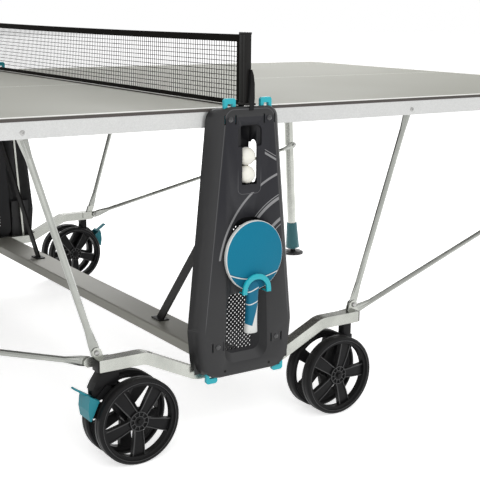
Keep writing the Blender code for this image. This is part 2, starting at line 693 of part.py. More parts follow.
def arch(half, bottom, top, steps=8):
    """Upright outline with a round top."""
    points = [(half, bottom), (half, top - half * 0.8)]
    for k in range(1, steps):
        angle = math.pi * k / steps
        points.append((half * math.cos(angle), top - half * 0.8 + half * 0.8 * math.sin(angle)))
    points += [(-half, top - half * 0.8), (-half, bottom)]
    return points


def recess_outline(grow):
    """Bat recess on the front of the panel, wider by a margin on every side."""
    corners = [(x + math.copysign(grow, x), z + (grow if z == RECESS_TOP else -grow)) for x, z in RECESS_CORNERS]
    return rounded(corners, [r + grow for r in RECESS_RADII], (3, 3, 5, 5))


def perforations():
    """Staggered rows of square holes through the floor of the recess."""
    bm = bmesh.new()
    rows = int((MESH_TOP - RECESS_BOTTOM) / ROW_PITCH)
    for row in range(rows):
        shift = HOLE_PITCH / 2 if row % 2 else 0
        z = RECESS_BOTTOM + 0.010 + row * ROW_PITCH
        lean = RECESS_LEAN * (z - RECESS_BOTTOM)
        for column in range(-3, 3):
            x = column * HOLE_PITCH + shift
            if x < RECESS_CORNERS[0][0] + lean + 0.007 or x > RECESS_CORNERS[1][0] - lean - 0.005:
                continue
            outline = []
            for quarter in range(4):
                angle = math.pi / 2 * quarter + HOLE_TURN
                outline.append((x + HOLE_RADIUS * math.cos(angle), z + HOLE_RADIUS * math.sin(angle)))
            front = [bm.verts.new((a, -RECESS_FLOOR - 0.004, b)) for a, b in outline]
            rear = [bm.verts.new((a, -RECESS_FLOOR + 0.008, b)) for a, b in outline]
            bm.faces.new(front)
            bm.faces.new(rear)
            for i in range(4):
                j = (i + 1) % 4
                bm.faces.new((front[i], front[j], rear[j], rear[i]))
    bmesh.ops.recalc_face_normals(bm, faces=bm.faces)
    return bm


def side_window(sign):
    """Round-ended opening in a side wall of the ball channel."""
    centre, radius = -(PANEL_FRONT - 0.0190), SIDE_WINDOW_RADIUS
    low, high = SIDE_WINDOW
    outline = [(centre - radius, low + radius), (centre - 0.6 * radius, low + 0.2 * radius), (centre, low),
               (centre + radius + 0.010, low), (centre + radius + 0.010, high - radius * 0.5)]
    for k in range(1, 7):
        angle = math.pi * k / 7
        outline.append((centre + radius * math.cos(angle), high - radius + radius * math.sin(angle)))
    outline.append((centre - radius, high - radius))
    sides = sorted((sign * (CHANNEL_HALF - 0.0012), sign * (CHANNEL_HALF + CHANNEL_WALL + 0.001)))
    return prism(outline, *sides, axis="X")


def panel(name):
    """Open-backed moulded panel with ball channel, bat recess and latch windows."""
    wall = PANEL_WALL
    edge = PANEL_EDGE
    rings = [panel_ring(PANEL_FRONT - wall, edge + wall * 0.6), panel_ring(PANEL_FRONT - edge - wall * 0.4, wall),
             panel_ring(PANEL_BACK, wall), panel_ring(PANEL_BACK, 0),
             panel_ring(PANEL_FRONT - edge, 0), panel_ring(PANEL_FRONT - edge * 0.3, edge * 0.3),
             panel_ring(PANEL_FRONT, edge)]
    shell = loft(rings)
    channel_half = CHANNEL_HALF + CHANNEL_WALL
    skin = -PANEL_FRONT + 0.001
    block = box((-channel_half, skin, CHANNEL_BOTTOM - 0.004), (channel_half, -CHANNEL_BACK, MOUTH_TOP + 0.004))
    tub = prism(recess_outline(wall), skin, -RECESS_FLOOR + wall)
    lower_boss = box((-0.030, skin, TUBE_TOP_CENTRE - 0.0185), (0.030, -TUBE_FACE - FIT, TUBE_TOP_CENTRE - 0.0025))
    lugs = []
    for x, z in ((LATCH_X, LATCH_AXIS_HIGH), (LATCH_LOW_X, LATCH_AXIS_LOW)):
        for sign in ENDS.values():
            low = (sign * x - LUG_HALF, skin, z - 0.006)
            lugs.append(box(low, (sign * x + LUG_HALF, -LATCH_PLANE + 0.009, z + 0.006)))
    body = union(shell, block, tub, lower_boss, *lugs)
    front = -PANEL_FRONT - 0.02
    channel = box((-CHANNEL_HALF, -PANEL_FRONT + wall, CHANNEL_BOTTOM),
                  (CHANNEL_HALF, -CHANNEL_BACK - CHANNEL_WALL, MOUTH_TOP - 0.002))
    slot = box((-CHANNEL_SLOT_HALF, front, CHANNEL_BOTTOM + 0.001), (CHANNEL_SLOT_HALF, -PANEL_FRONT + 0.006, MOUTH_BOTTOM + 0.021))
    mouth = prism(arch(MOUTH_HALF, MOUTH_BOTTOM, MOUTH_TOP), front, -PANEL_FRONT + 0.0055)
    recess = prism(recess_outline(0), front, -RECESS_FLOOR)
    cuts = [channel, slot, mouth, recess, perforations()]
    reach = LATCH_HALF + LATCH_GAP
    windows = ((LATCH_X, TABLE_HEIGHT - 0.0120, TABLE_HEIGHT + 0.0200),
               (LATCH_LOW_X, TUBE_TOP_CENTRE - 0.0405, TUBE_TOP_CENTRE + 0.0095))
    slots = ((LATCH_X + 0.0035, LATCH_AXIS_HIGH, 0.0135), (LATCH_LOW_X - 0.0110, LATCH_AXIS_LOW, 0.0140))
    for sign in ENDS.values():
        cuts.append(side_window(sign))
        for x, low, high in windows:
            cuts.append(box((sign * x - reach, -LATCH_PLANE - 0.0055, low), (sign * x + reach, -LATCH_PLANE + 0.0105, high)))
        for x, z, spread in slots:
            for shift in (-spread, spread):
                centre = sign * x + shift
                cuts.append(box((centre - 0.0014, front, z - 0.010), (centre + 0.0014, -PANEL_FRONT + 0.009, z + 0.010)))
    return to_object(name, cut(body, *cuts), "panel", smooth=40)


def latch(name, x, axis_z, end_z):
    """Finger latch that straddles its lug behind the panel's front wall."""
    up = math.copysign(1, end_z - axis_z)
    inner = LUG_HALF + FIT
    root = axis_z - 0.008 * up
    bridge = end_z - 0.012 * up
    outline = ((x - LATCH_HALF, root), (x - inner, root), (x - inner, bridge), (x + inner, bridge),
               (x + inner, root), (x + LATCH_HALF, root), (x + LATCH_HALF, end_z - 0.004 * up),
               (x + LATCH_HALF - 0.004, end_z), (x - LATCH_HALF + 0.004, end_z), (x - LATCH_HALF, end_z - 0.004 * up))
    body = prism(outline, -LATCH_PLANE - LATCH_THICKNESS / 2, -LATCH_PLANE + LATCH_THICKNESS / 2)
    return to_object(name, body, "turquoise", (x, -LATCH_PLANE, axis_z))


def bat_clip(name):
    """Arched holder that stands off the panel in front of the bat's throat."""
    outer, outer_rise = CLIP_OUTER
    inner, inner_rise = CLIP_INNER
    bar_low = -(BAT_PLANE + CLIP_STANDOFF + CLIP_THICKNESS)
    bar_high = -(BAT_PLANE + CLIP_STANDOFF)
    steps = 10

    def bow(half, rise, order):
        angles = [math.pi * k / steps for k in order]
        return [(CLIP_X + half * math.cos(angle), CLIP_SPRING + rise * math.sin(angle)) for angle in angles]

    outline = [(CLIP_X + outer, CLIP_BASE)] + bow(outer, outer_rise, range(steps + 1))
    outline += [(CLIP_X - outer, CLIP_BASE), (CLIP_X - inner, CLIP_BASE)]
    outline += bow(inner, inner_rise, range(steps, -1, -1)) + [(CLIP_X + inner, CLIP_BASE)]
    bar = prism(outline, bar_low, bar_high)
    feet = []
    for sign in ENDS.values():
        x = CLIP_X + sign * (inner + 0.003)
        low = (x - 0.0025, bar_low + 0.001, CLIP_BASE + 0.001)
        feet.append(box(low, (x + 0.0025, -RECESS_FLOOR - FIT, CLIP_BASE + 0.0125)))
    return to_object(name, union(bar, *feet), "turquoise")


def bat(name):
    """Bat hung handle down: blade, throat and handle in one outline, thicker at the handle."""
    count = 28
    blade = []
    for i in range(count):
        angle = 2 * math.pi * i / count
        blade.append((BLADE_RADIUS * math.cos(angle), BLADE_LENGTH / 2 * math.sin(angle)))
    half = BLADE_THICKNESS / 2
    body = prism(blade, -half, half)
    rings = []
    throat = BLADE_LENGTH / 2
    for down, width, thick in ((throat - 0.0215, 0.0220, half - 0.0005), (throat + 0.0005, 0.0150, 0.0085),
                               (throat + 0.0205, 0.0135, 0.0115), (throat + 0.0605, 0.0130, 0.0115),
                               (throat + HANDLE_LENGTH, 0.0155, 0.0120)):
        ring = []
        for i in range(12):
            angle = 2 * math.pi * (i + 0.5) / 12
            ring.append((width * math.cos(angle), thick * math.sin(angle), -down))
        rings.append(ring)
    body = union(body, loft(rings))
    turn = Matrix.Rotation(BAT_TILT, 4, "Y")
    place = Matrix.Translation((BAT_CENTRE[0], -BAT_PLANE, BAT_CENTRE[1]))
    return to_object(name, moved(body, place @ turn), "bat", (BAT_CENTRE[0], -BAT_PLANE, BAT_CENTRE[1]))


def ball(name, z):
    bm = bmesh.new()
    bmesh.ops.create_icosphere(bm, subdivisions=2, radius=BALL_RADIUS)
    place = Vector((0, -(CHANNEL_BACK + CHANNEL_WALL + BALL_RADIUS + FIT), z))
    moved(bm, Matrix.Translation(place))
    return to_object(name, bm, "ball", tuple(place))


def net_post(name):
    low, high = POST_SPAN
    base = TABLE_HEIGHT + 0.005 + FIT
    column = prism(((-high, base), (-low, base), (-low, POST_TOP - 0.004), (-low - 0.004, POST_TOP),
                    (-high + 0.012, POST_TOP), (-high, POST_TOP - 0.012)), -POST_WIDTH / 2, POST_WIDTH / 2, axis="X")
    foot = box((-0.013, -high, base), (0.013, -PANEL_BACK, base + 0.006))
    tongue = box((-POST_WIDTH / 2, -RAIL_DEPTH[0] + FIT, BAR_BOTTOM - 0.010),
                 (POST_WIDTH / 2, -HALF_WIDTH - 0.0004, base + 0.004))
    return to_object(name, union(column, foot, tongue), "black_steel")


def net(name):
    """Flat net with tapes: a plate with rows of rectangular gaps."""
    bottom = TABLE_HEIGHT + 0.003
    top = TABLE_HEIGHT + NET_HEIGHT + 0.003
    half = NET_THICKNESS / 2

    def stops(first, last, count):
        pitch = (last - first + NET_CORD) / count
        values = [first]
        for i in range(count):
            values.append(first + (i + 1) * pitch - NET_CORD)
            values.append(first + (i + 1) * pitch)
        return values[:-1]

    ys = [-NET_END] + stops(-NET_END + NET_END_TAPE, NET_END - NET_END_TAPE, NET_COLUMNS) + [NET_END]
    zs = [bottom] + stops(bottom + NET_BOTTOM_TAPE, top - NET_TOP_TAPE, NET_ROWS) + [top]

    def is_gap(i, j):
        return i % 2 == 1 and j % 2 == 1 and 0 < i < len(ys) - 2 and 0 < j < len(zs) - 2

    bm = bmesh.new()
    verts = {}

    def vert(i, j, side):
        key = (i, j, side)
        if key not in verts:
            height = (zs[j] - bottom) / (top - bottom)
            sag = NET_SAG * height * (1 - (ys[i] / NET_END) ** 2)
            verts[key] = bm.verts.new((side * half, ys[i], zs[j] - sag))
        return verts[key]

    for i in range(len(ys) - 1):
        for j in range(len(zs) - 1):
            if is_gap(i, j):
                continue
            for side in (-1, 1):
                bm.faces.new((vert(i, j, side), vert(i + 1, j, side), vert(i + 1, j + 1, side), vert(i, j + 1, side)))
            for di, dj, ends in ((-1, 0, ((0, 0), (0, 1))), (1, 0, ((1, 0), (1, 1))),
                                 (0, -1, ((0, 0), (1, 0))), (0, 1, ((0, 1), (1, 1)))):
                ni, nj = i + di, j + dj
                outside = not (0 <= ni < len(ys) - 1 and 0 <= nj < len(zs) - 1)
                if outside or is_gap(ni, nj):
                    (a, b), (c, d) = ends
                    bm.faces.new((vert(i + a, j + b, -1), vert(i + c, j + d, -1),
                                  vert(i + c, j + d, 1), vert(i + a, j + b, 1)))
    bmesh.ops.recalc_face_normals(bm, faces=bm.faces)
    return to_object(name, bm, "net")


def caster_fork(name):
    """Stem, hooded body and axle of a twin-wheel caster."""
    stem_top = TUBE_UNDERSIDE - FIT
    y_low = -TUBE_PLANE - FORK_THICKNESS / 2
    y_high = -TUBE_PLANE + FORK_THICKNESS / 2
    hub = WHEEL_RADIUS
    outline = ((AXLE_X - 0.016, hub - 0.010), (AXLE_X, hub - 0.019), (AXLE_X + 0.018, hub - 0.008),
               (CASTER_X + 0.016, TUBE_UNDERSIDE - 0.0644), (CASTER_X + 0.016, TUBE_UNDERSIDE - 0.0304),
               (CASTER_X - 0.014, TUBE_UNDERSIDE - 0.0264), (CASTER_X - 0.030, TUBE_UNDERSIDE - 0.0404),
               (AXLE_X - 0.018, hub + 0.010))
    body = prism(outline, y_low, y_high)
    hood_outline = ((CASTER_X - 0.0145, TUBE_UNDERSIDE - 0.0244), (CASTER_X + 0.0220, TUBE_UNDERSIDE - 0.0244),
                    (CASTER_X + 0.0330, TUBE_UNDERSIDE - 0.0369), (CASTER_X + 0.0495, TUBE_UNDERSIDE - 0.0379),
                    (CASTER_X + 0.0270, TUBE_UNDERSIDE - 0.0014), (CASTER_X - 0.0145, TUBE_UNDERSIDE - 0.0014))
    hood = prism(hood_outline, -TUBE_PLANE - HOOD_HALF, -TUBE_PLANE + HOOD_HALF)
    stem = moved(turned(((STEM_RADIUS, TUBE_UNDERSIDE - 0.0344), (STEM_RADIUS, stem_top)), 14, False),
                 Matrix.Translation((CASTER_X, -TUBE_PLANE, 0)))
    reach = WHEEL_SPREAD + WHEEL_WIDTH / 2 - 0.004
    axle = disc((AXLE_X, WHEEL_RADIUS), AXLE_RADIUS, -TUBE_PLANE - reach, -TUBE_PLANE + reach, 14)
    return to_object(name, union(body, hood, stem, axle), "wheel", (CASTER_X, -TUBE_PLANE, stem_top))


def wheel_mesh():
    """Wheel about its local Z axis; +Z is the outer face."""
    half = WHEEL_WIDTH / 2
    tread = WHEEL_RADIUS
    rim = ((tread, -half + 0.004), (tread, half - 0.004), (tread - 0.005, half),
           (tread - RIM_DEPTH, half - 0.006), (tread - RIM_DEPTH, -half + 0.004))
    ring = turned(rim, 22, True)
    inner_reach = -(WHEEL_SPREAD - FORK_THICKNESS / 2 - FIT)
    hub_profile = ((AXLE_RADIUS + FIT, inner_reach), (HUB_RADIUS - 0.0075, inner_reach), (HUB_RADIUS, -half + 0.008),
                   (HUB_RADIUS, half - 0.006), (AXLE_RADIUS + FIT, half - 0.006))
    hub = turned(hub_profile, 12, True)
    spokes = []
    for k in range(SPOKES):
        root = HUB_RADIUS - 0.0045
        tip = tread - RIM_DEPTH + 0.004
        spoke = loft([[(root, -0.009, -0.004), (root, 0.009, -0.004), (root, 0.007, 0.007), (root, -0.007, 0.007)],
                      [(tip, -0.0165, -0.008), (tip, 0.0165, -0.008), (tip - 0.001, 0.0145, 0.004),
                       (tip - 0.001, -0.0145, 0.004)]])
        spokes.append(moved(spoke, Matrix.Rotation(2 * math.pi * k / SPOKES, 4, "Z")))
    return union(ring, hub, *spokes)


def wheels():
    base = bpy.data.meshes.new("wheel")
    bm = wheel_mesh()
    bm.to_mesh(base)
    bm.free()
    base.materials.append(material("wheel"))
    base.shade_smooth()
    base.set_sharp_from_angle(angle=math.radians(35))
    for side, side_sign in SIDES.items():
        for end, end_sign in ENDS.items():
            for place, place_sign in (("outer", 1), ("inner", -1)):
                obj = bpy.data.objects.new(f"wheel_{side}_{end}_{place}", base)
                y = side_sign * (TUBE_PLANE + place_sign * WHEEL_SPREAD)
                facing = side_sign * place_sign
                tilt = Matrix.Rotation(-facing * math.pi / 2, 4, "X")
                spin = Matrix.Rotation(-facing * math.radians(WHEEL_TURN[side, end]), 4, "Z")
                obj.matrix_world = Matrix.Translation((end_sign * AXLE_X, y, WHEEL_RADIUS)) @ tilt @ spin
                bpy.context.scene.collection.objects.link(obj)


def about_axle(turn, off_tread):
    """Point of the XZ plane given by its angle and its distance from the tread."""
    angle = math.radians(turn)
    reach = WHEEL_RADIUS + off_tread
    return (AXLE_X + reach * math.cos(angle), WHEEL_RADIUS + reach * math.sin(angle))


def brake_pedal(name):
    """Foot pedal whose body swings down on to both treads."""
    def across(points, half):
        return prism([about_axle(*point) for point in points], -TUBE_PLANE - half, -TUBE_PLANE + half)

    body = cut(across(PEDAL_BODY, PEDAL_HALF), across(PEDAL_SCOOP, PEDAL_HALF - PEDAL_WALL))
    cheek = [about_axle(*point) for point in PEDAL_CHEEK]
    cheeks = [across(PEDAL_TAB, TAB_HALF)]
    for side in (1, -1):
        inner = FORK_THICKNESS / 2 + FIT
        faces = sorted((-TUBE_PLANE + side * inner, -TUBE_PLANE + side * (inner + CHEEK_THICKNESS)))
        cheeks.append(prism(cheek, *faces))
    pivot_x, pivot_z = about_axle(*PEDAL_PIVOT)
    return to_object(name, union(body, *cheeks), "pedal", (pivot_x, -TUBE_PLANE, pivot_z))


def main():
    clear_scene()
    two_sides("side_frame", side_frame)
    crossbeam("crossbeam")
    two_sides("brace", brace)
    two_sides("panel", panel)
    two_sides("bat_clip", bat_clip)
    two_sides("net_post", net_post)
    net("net")
    bat("bat")
    ball("ball_lower", LOWER_BALL_Z)
    ball("ball_upper", UPPER_BALL_Z)
    four_corners("latch_high", lambda name: latch(name, LATCH_X, LATCH_AXIS_HIGH, LATCH_END_HIGH))
    four_corners("latch_low", lambda name: latch(name, LATCH_LOW_X, LATCH_AXIS_LOW, LATCH_END_LOW))
    four_corners("caster_fork", caster_fork)
    wheels()
    pedal = brake_pedal("brake_pedal_near_right")
    mirrored(pedal, "brake_pedal_near_left", True, False)
    mirrored(pedal, "brake_pedal_far_right", False, True)
    bpy.data.objects.remove(pedal, do_unlink=True)
    two_ends("table_top", table_top)
    two_ends("surround", surround)
    four_corners("guide_shoe", guide_shoe)
    four_corners("arm", arm)
    four_corners("link", link)
    two_ends("leg_frame", leg_frame)
    four_corners("leg_foot", leg_foot)


main()
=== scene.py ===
import math
from functools import partial

import bmesh
import bpy
from mathutils import Matrix, Vector


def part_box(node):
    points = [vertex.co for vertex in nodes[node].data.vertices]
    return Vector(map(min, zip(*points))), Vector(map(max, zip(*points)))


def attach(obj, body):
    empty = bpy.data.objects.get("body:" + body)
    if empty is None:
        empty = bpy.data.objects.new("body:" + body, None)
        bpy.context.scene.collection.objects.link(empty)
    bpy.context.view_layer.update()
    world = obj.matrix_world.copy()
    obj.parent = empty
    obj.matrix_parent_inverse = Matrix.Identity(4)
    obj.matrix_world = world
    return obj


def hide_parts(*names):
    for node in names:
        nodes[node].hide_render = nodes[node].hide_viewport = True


# Outdoor table tennis table: finishes, net, bat, balls, wheels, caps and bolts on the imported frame.
# X runs along the table, Y across it (near side is -Y), Z up, all in metres.

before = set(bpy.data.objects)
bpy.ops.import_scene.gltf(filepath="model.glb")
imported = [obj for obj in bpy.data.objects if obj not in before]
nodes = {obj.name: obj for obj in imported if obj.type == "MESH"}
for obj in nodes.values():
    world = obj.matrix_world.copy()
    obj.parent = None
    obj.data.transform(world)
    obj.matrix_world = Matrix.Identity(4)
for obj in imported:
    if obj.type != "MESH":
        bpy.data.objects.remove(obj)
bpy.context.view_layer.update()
print("frame loaded:", len(nodes), "nodes")

# signs on Y and X of what comes once to each side and once to each end
sides = {"near": -1, "far": 1}
ends = {"left": -1, "right": 1}
cornerSigns = [(side, end, sides[side], ends[end]) for side in sides for end in ends]
# axle of each caster, and how far its two wheels stand from the middle
casterPlace = {"along": 0.2746, "across": 0.752, "height": 0.0973, "wheelOffset": 0.0315}


def smooth(mesh, angle=35):
    mesh.shade_smooth()
    mesh.set_sharp_from_angle(angle=math.radians(angle))


def newMesh(name, bm, *materials, smoothAngle=35):
    bmesh.ops.recalc_face_normals(bm, faces=bm.faces)
    mesh = bpy.data.meshes.new(name)
    bm.to_mesh(mesh)
    bm.free()
    smooth(mesh, smoothAngle)
    for material in materials:
        mesh.materials.append(material)
    return mesh


def addObject(name, data):
    obj = bpy.data.objects.new(name, data)
    bpy.context.scene.collection.objects.link(obj)
    return obj


def newObject(name, bm, *materials, smoothAngle=35):
    return addObject(name, newMesh(name, bm, *materials, smoothAngle=smoothAngle))


def applyModifier(piece, kind, **settings):
    modifier = piece.modifiers.new("change", kind)
    for key, value in settings.items():
        setattr(modifier, key, value)
    bpy.context.view_layer.update()
    mesh = bpy.data.meshes.new_from_object(piece.evaluated_get(bpy.context.evaluated_depsgraph_get()))
    piece.modifiers.clear()
    piece.data = mesh


def combine(piece, bm, operation, **settings):
    # joins the shape in bm to a piece or cuts it out
    tool = newObject("tool", bm)
    applyModifier(piece, "BOOLEAN", operation=operation, solver="EXACT", object=tool, **settings)
    bpy.data.objects.remove(tool, do_unlink=True)


def setMaterial(piece, material):
    piece.data.materials.clear()
    piece.data.materials.append(material)


def softenEdges(bm, width, edges=None):
    bmesh.ops.bevel(bm, geom=edges or list(bm.edges), offset=width, segments=2, profile=0.6, affect="EDGES")


def skin(bm, rings, capped=True, materialIndex=0):
    # joins closed rings of points one after another
    loops = [[bm.verts.new(p) for p in ring] for ring in rings]
    faces = []
    for first, second in zip(loops, loops[1:]):
        count = len(first)
        for i in range(count):
            j = (i + 1) % count
            faces.append(bm.faces.new((first[i], first[j], second[j], second[i])))
    if capped:
        faces.append(bm.faces.new(loops[0]))
        faces.append(bm.faces.new(loops[-1]))
    for face in faces:
        face.material_index = materialIndex
    return loops


def spin(bm, profile, segments, matrix=Matrix.Identity(4), closedProfile=False, materialIndex=0):
    # turns a profile of (radius, along) about the matrix's Z axis
    loops = []
    for i in range(segments):
        angle = 2 * math.pi * i / segments
        ring = [matrix @ Vector((r * math.cos(angle), r * math.sin(angle), a)) for r, a in profile]
        loops.append([bm.verts.new(p) for p in ring])
    count = len(profile)
    for i in range(segments):
        first, second = loops[i], loops[(i + 1) % segments]
        for k in range(count if closedProfile else count - 1):
            n = (k + 1) % count
            face = bm.faces.new((first[k], first[n], second[n], second[k]))
            face.material_index = materialIndex
    if not closedProfile:
        for end in (0, -1):
            if profile[end][0] > 1e-6:
                bm.faces.new([loop[end] for loop in loops]).material_index = materialIndex


def rectangle(left, right, low, high):
    return [(left, low), (right, low), (right, high), (left, high)]


def block(bm, corner, opposite):
    # box between two corners, given in any order
    along, across, heights = (sorted(pair) for pair in zip(corner, opposite))
    skin(bm, [[(x, y, z) for x, y in rectangle(*along, *across)] for z in heights])


def prism(bm, outline, low, high):
    # flat outline of (x, z) carried from one Y to another
    skin(bm, [[(x, y, z) for x, z in outline] for y in (low, high)])


def rounded(corners, radii, steps=5):
    # outline with an arc of its own radius at each corner
    points = []
    for i, corner in enumerate(corners):
        here = Vector(corner)
        before = (Vector(corners[i - 1]) - here).normalized()
        after = (Vector(corners[(i + 1) % len(corners)]) - here).normalized()
        half = before.angle(after) / 2
        centre = here + (before + after).normalized() * radii[i] / math.sin(half)
        first = here + before * radii[i] / math.tan(half) - centre
        last = here + after * radii[i] / math.tan(half) - centre
        for k in range(steps + 1):
            points.append(tuple(centre + first.lerp(last, k / steps).normalized() * radii[i]))
    return points


def facing(point, direction):
    # matrix whose Z axis points along a direction
    rotation = Vector((0, 0, 1)).rotation_difference(Vector(direction)).to_matrix().to_4x4()
    return Matrix.Translation(point) @ rotation


def addNode(tree, kind, **settings):
    node = tree.nodes.new(kind)
    for key, value in settings.items():
        if key == "inputs":
            for socket, amount in value.items():
                node.inputs[socket].default_value = amount
        else:
            setattr(node, key, value)
    return node


def plug(source, node, key):
    # source is another node's socket, a number or a colour
    if isinstance(source, bpy.types.NodeSocket):
        node.id_data.links.new(source, node.inputs[key])
    else:
        node.inputs[key].default_value = (*source, 1.0) if isinstance(source, tuple) else source


def calc(operation, *values, clamp=False):
    # a math node in the tree of the sockets among its values
    tree = next(value.id_data for value in values if isinstance(value, bpy.types.NodeSocket))
    node = addNode(tree, "ShaderNodeMath", operation=operation, use_clamp=clamp)
    for key, value in enumerate(values):
        plug(value, node, key)
    return node.outputs[0]


def chain(operation, *values):
    result = values[0]
    for value in values[1:]:
        result = calc(operation, result, value)
    return result


plus, minus, times, largest = (partial(chain, kind) for kind in ("ADD", "SUBTRACT", "MULTIPLY", "MAXIMUM"))


def vectorParts(tree, kind, output):
    # X, Y and Z of a vector that an input node puts out
    parts = addNode(tree, "ShaderNodeSeparateXYZ")
    plug(addNode(tree, kind).outputs[output], parts, 0)
    return parts.outputs


def coordinates(tree):
    return vectorParts(tree, "ShaderNodeTexCoord", "Object")


def rise(value, edge, soft):
    # 0 below an edge and 1 above it
    node = addNode(value.id_data, "ShaderNodeMapRange", interpolation_type="SMOOTHSTEP",
                   inputs={"From Min": edge - soft, "From Max": edge + soft})
    plug(value, node, "Value")
    return node.outputs[0]


def band(value, low, high, soft=0.0003):
    # 1 between two limits, with soft edges
    return calc("SUBTRACT", rise(value, low, soft), rise(value, high, soft), clamp=True)


def zone(*limits):
    # 1 where each value lies in its band
    return times(*(band(*limit) for limit in limits))


def diagonal(a, b):
    return calc("SQRT", plus(times(a, a), times(b, b)))


def boxDistance(right, up, radius):
    # distance outside a corner with a round edge; right and up are distances past its two straight edges
    a = largest(plus(right, radius), 0.0)
    b = largest(plus(up, radius), 0.0)
    return minus(diagonal(a, b), radius)


def blendColour(factor, first, second):
    node = addNode(factor.id_data, "ShaderNodeMix", data_type="RGBA")
    for source, key in ((factor, 0), (first, 6), (second, 7)):
        plug(source, node, key)
    return node.outputs[2]


def newGroup(name, inputs, outputs):
    group = bpy.data.node_groups.new(name, "ShaderNodeTree")
    for label, value in inputs.items():
        socket = group.interface.new_socket(name=label, in_out="INPUT", socket_type="NodeSocketFloat")
        socket.default_value = value
    for label in outputs:
        group.interface.new_socket(name=label, in_out="OUTPUT", socket_type="NodeSocketFloat")
    return group, addNode(group, "NodeGroupInput"), addNode(group, "NodeGroupOutput")


def grainGroup():
    # fine and broad noise for colour drift, roughness and bump
    group, start, end = newGroup("surfaceGrain", {"Scale": 400, "Broad Scale": 6}, ("Fine", "Broad", "Cells"))
    place = addNode(group, "ShaderNodeTexCoord")
    fine = addNode(group, "ShaderNodeTexNoise", inputs={"Detail": 3.0, "Roughness": 0.6})
    broad = addNode(group, "ShaderNodeTexNoise", inputs={"Detail": 4.0, "Roughness": 0.55})
    cells = addNode(group, "ShaderNodeTexVoronoi")
    for node, scale in ((fine, "Scale"), (broad, "Broad Scale"), (cells, "Scale")):
        plug(place.outputs["Object"], node, "Vector")
        plug(start.outputs[scale], node, "Scale")
    separate = addNode(group, "ShaderNodeSeparateColor")
    plug(cells.outputs["Color"], separate, 0)
    plug(fine.outputs["Fac"], end, "Fine")
    plug(broad.outputs["Fac"], end, "Broad")
    plug(separate.outputs[0], end, "Cells")
    return group


def dustGroup():
    # mask of pale dust that gathers in patches on faces that look up
    group, start, end = newGroup("settledDust", {"Amount": 0.2}, ("Mask",))
    place = addNode(group, "ShaderNodeTexCoord")
    noise = addNode(group, "ShaderNodeTexNoise", inputs={"Scale": 28.0, "Detail": 5.0})
    plug(place.outputs["Object"], noise, "Vector")
    lifted = largest(vectorParts(group, "ShaderNodeNewGeometry", "Normal")["Z"], 0.0)
    patchy = times(lifted, noise.outputs["Fac"])
    plug(calc("MULTIPLY", patchy, start.outputs["Amount"], clamp=True), end, "Mask")
    return group


grain = grainGroup()
dust = dustGroup()
finishShared = {"cellShade": 0.62, "dustColour": (0.42, 0.4, 0.36), "roughness": (-0.06, 0.08)}


def baseMaterial(name):
    material = bpy.data.materials.new(name)
    material.use_nodes = True
    tree = material.node_tree
    return material, tree, tree.nodes["Principled BSDF"]


def finish(name, look, colour=None):
    # look: colour, drift, roughness, metallic, specular, coat, cells, dust,
    # grain as its fine and broad scale, bump as its strength and depth
    material, tree, shader = baseMaterial(name)
    fine, broad = look["grain"]
    marks = addNode(tree, "ShaderNodeGroup", node_tree=grain, inputs={"Scale": fine, "Broad Scale": broad})
    base, drift = look["colour"], look["drift"]
    low = tuple(c * (1 - drift) for c in base)
    high = tuple(min(c * (1 + drift), 1.0) for c in base)
    mixed = blendColour(marks.outputs["Broad"], low, high)
    if "cells" in look:
        amount = times(marks.outputs["Cells"], look["cells"])
        mixed = blendColour(amount, mixed, tuple(c * finishShared["cellShade"] for c in base))
    if colour:
        mixed = colour(tree, mixed)
    if "dust" in look:
        cover = addNode(tree, "ShaderNodeGroup", node_tree=dust, inputs={"Amount": look["dust"]})
        mixed = blendColour(cover.outputs["Mask"], mixed, finishShared["dustColour"])
    smoother, rougher = (look["roughness"] + change for change in finishShared["roughness"])
    spread = addNode(tree, "ShaderNodeMapRange", inputs={"To Min": smoother, "To Max": rougher})
    plug(marks.outputs["Broad"], spread, "Value")
    strength, depth = look["bump"]
    bump = addNode(tree, "ShaderNodeBump", inputs={"Strength": strength, "Distance": depth})
    plug(marks.outputs["Fine"], bump, "Height")
    for key, source in (("Base Color", mixed), ("Roughness", spread.outputs[0]), ("Normal", bump.outputs[0]),
                        ("Metallic", look.get("metallic", 0.0)), ("Coat Weight", look.get("coat", 0.0)),
                        ("Specular IOR Level", look.get("specular", 0.5))):
        plug(source, shader, key)
    return material


topLook = {
    "colour": (0.292, 0.292, 0.254), "drift": 0.03, "roughness": 0.58, "specular": 0.14, "grain": (900, 2.5),
    "bump": (0.25, 0.0002), "lineColour": (0.8, 0.8, 0.77), "edgeColour": (0.1, 0.09, 0.085),
    "sideLine": 0.02, "centreLine": 0.003, "halfWidth": 0.7625, "halfLength": 1.37, "margin": 0.0015,
    "paintLevel": 0.7595,
}


def topColour(tree, base):
    # white lines on the playing surface, and the dark core of the slab at its sides
    look = topLook
    x, y, z = coordinates(tree)
    across, along = calc("ABSOLUTE", y), calc("ABSOLUTE", x)
    lines = []
    for away, edge in ((across, look["halfWidth"]), (along, look["halfLength"])):
        outer = edge - look["margin"]
        lines.append(band(away, outer - look["sideLine"], outer))
    lines.append(band(across, -1, look["centreLine"] / 2))
    upper = band(z, look["paintLevel"], 1.0, 0.0002)
    painted = times(largest(*lines), upper)
    return blendColour(upper, look["edgeColour"], blendColour(painted, base, look["lineColour"]))


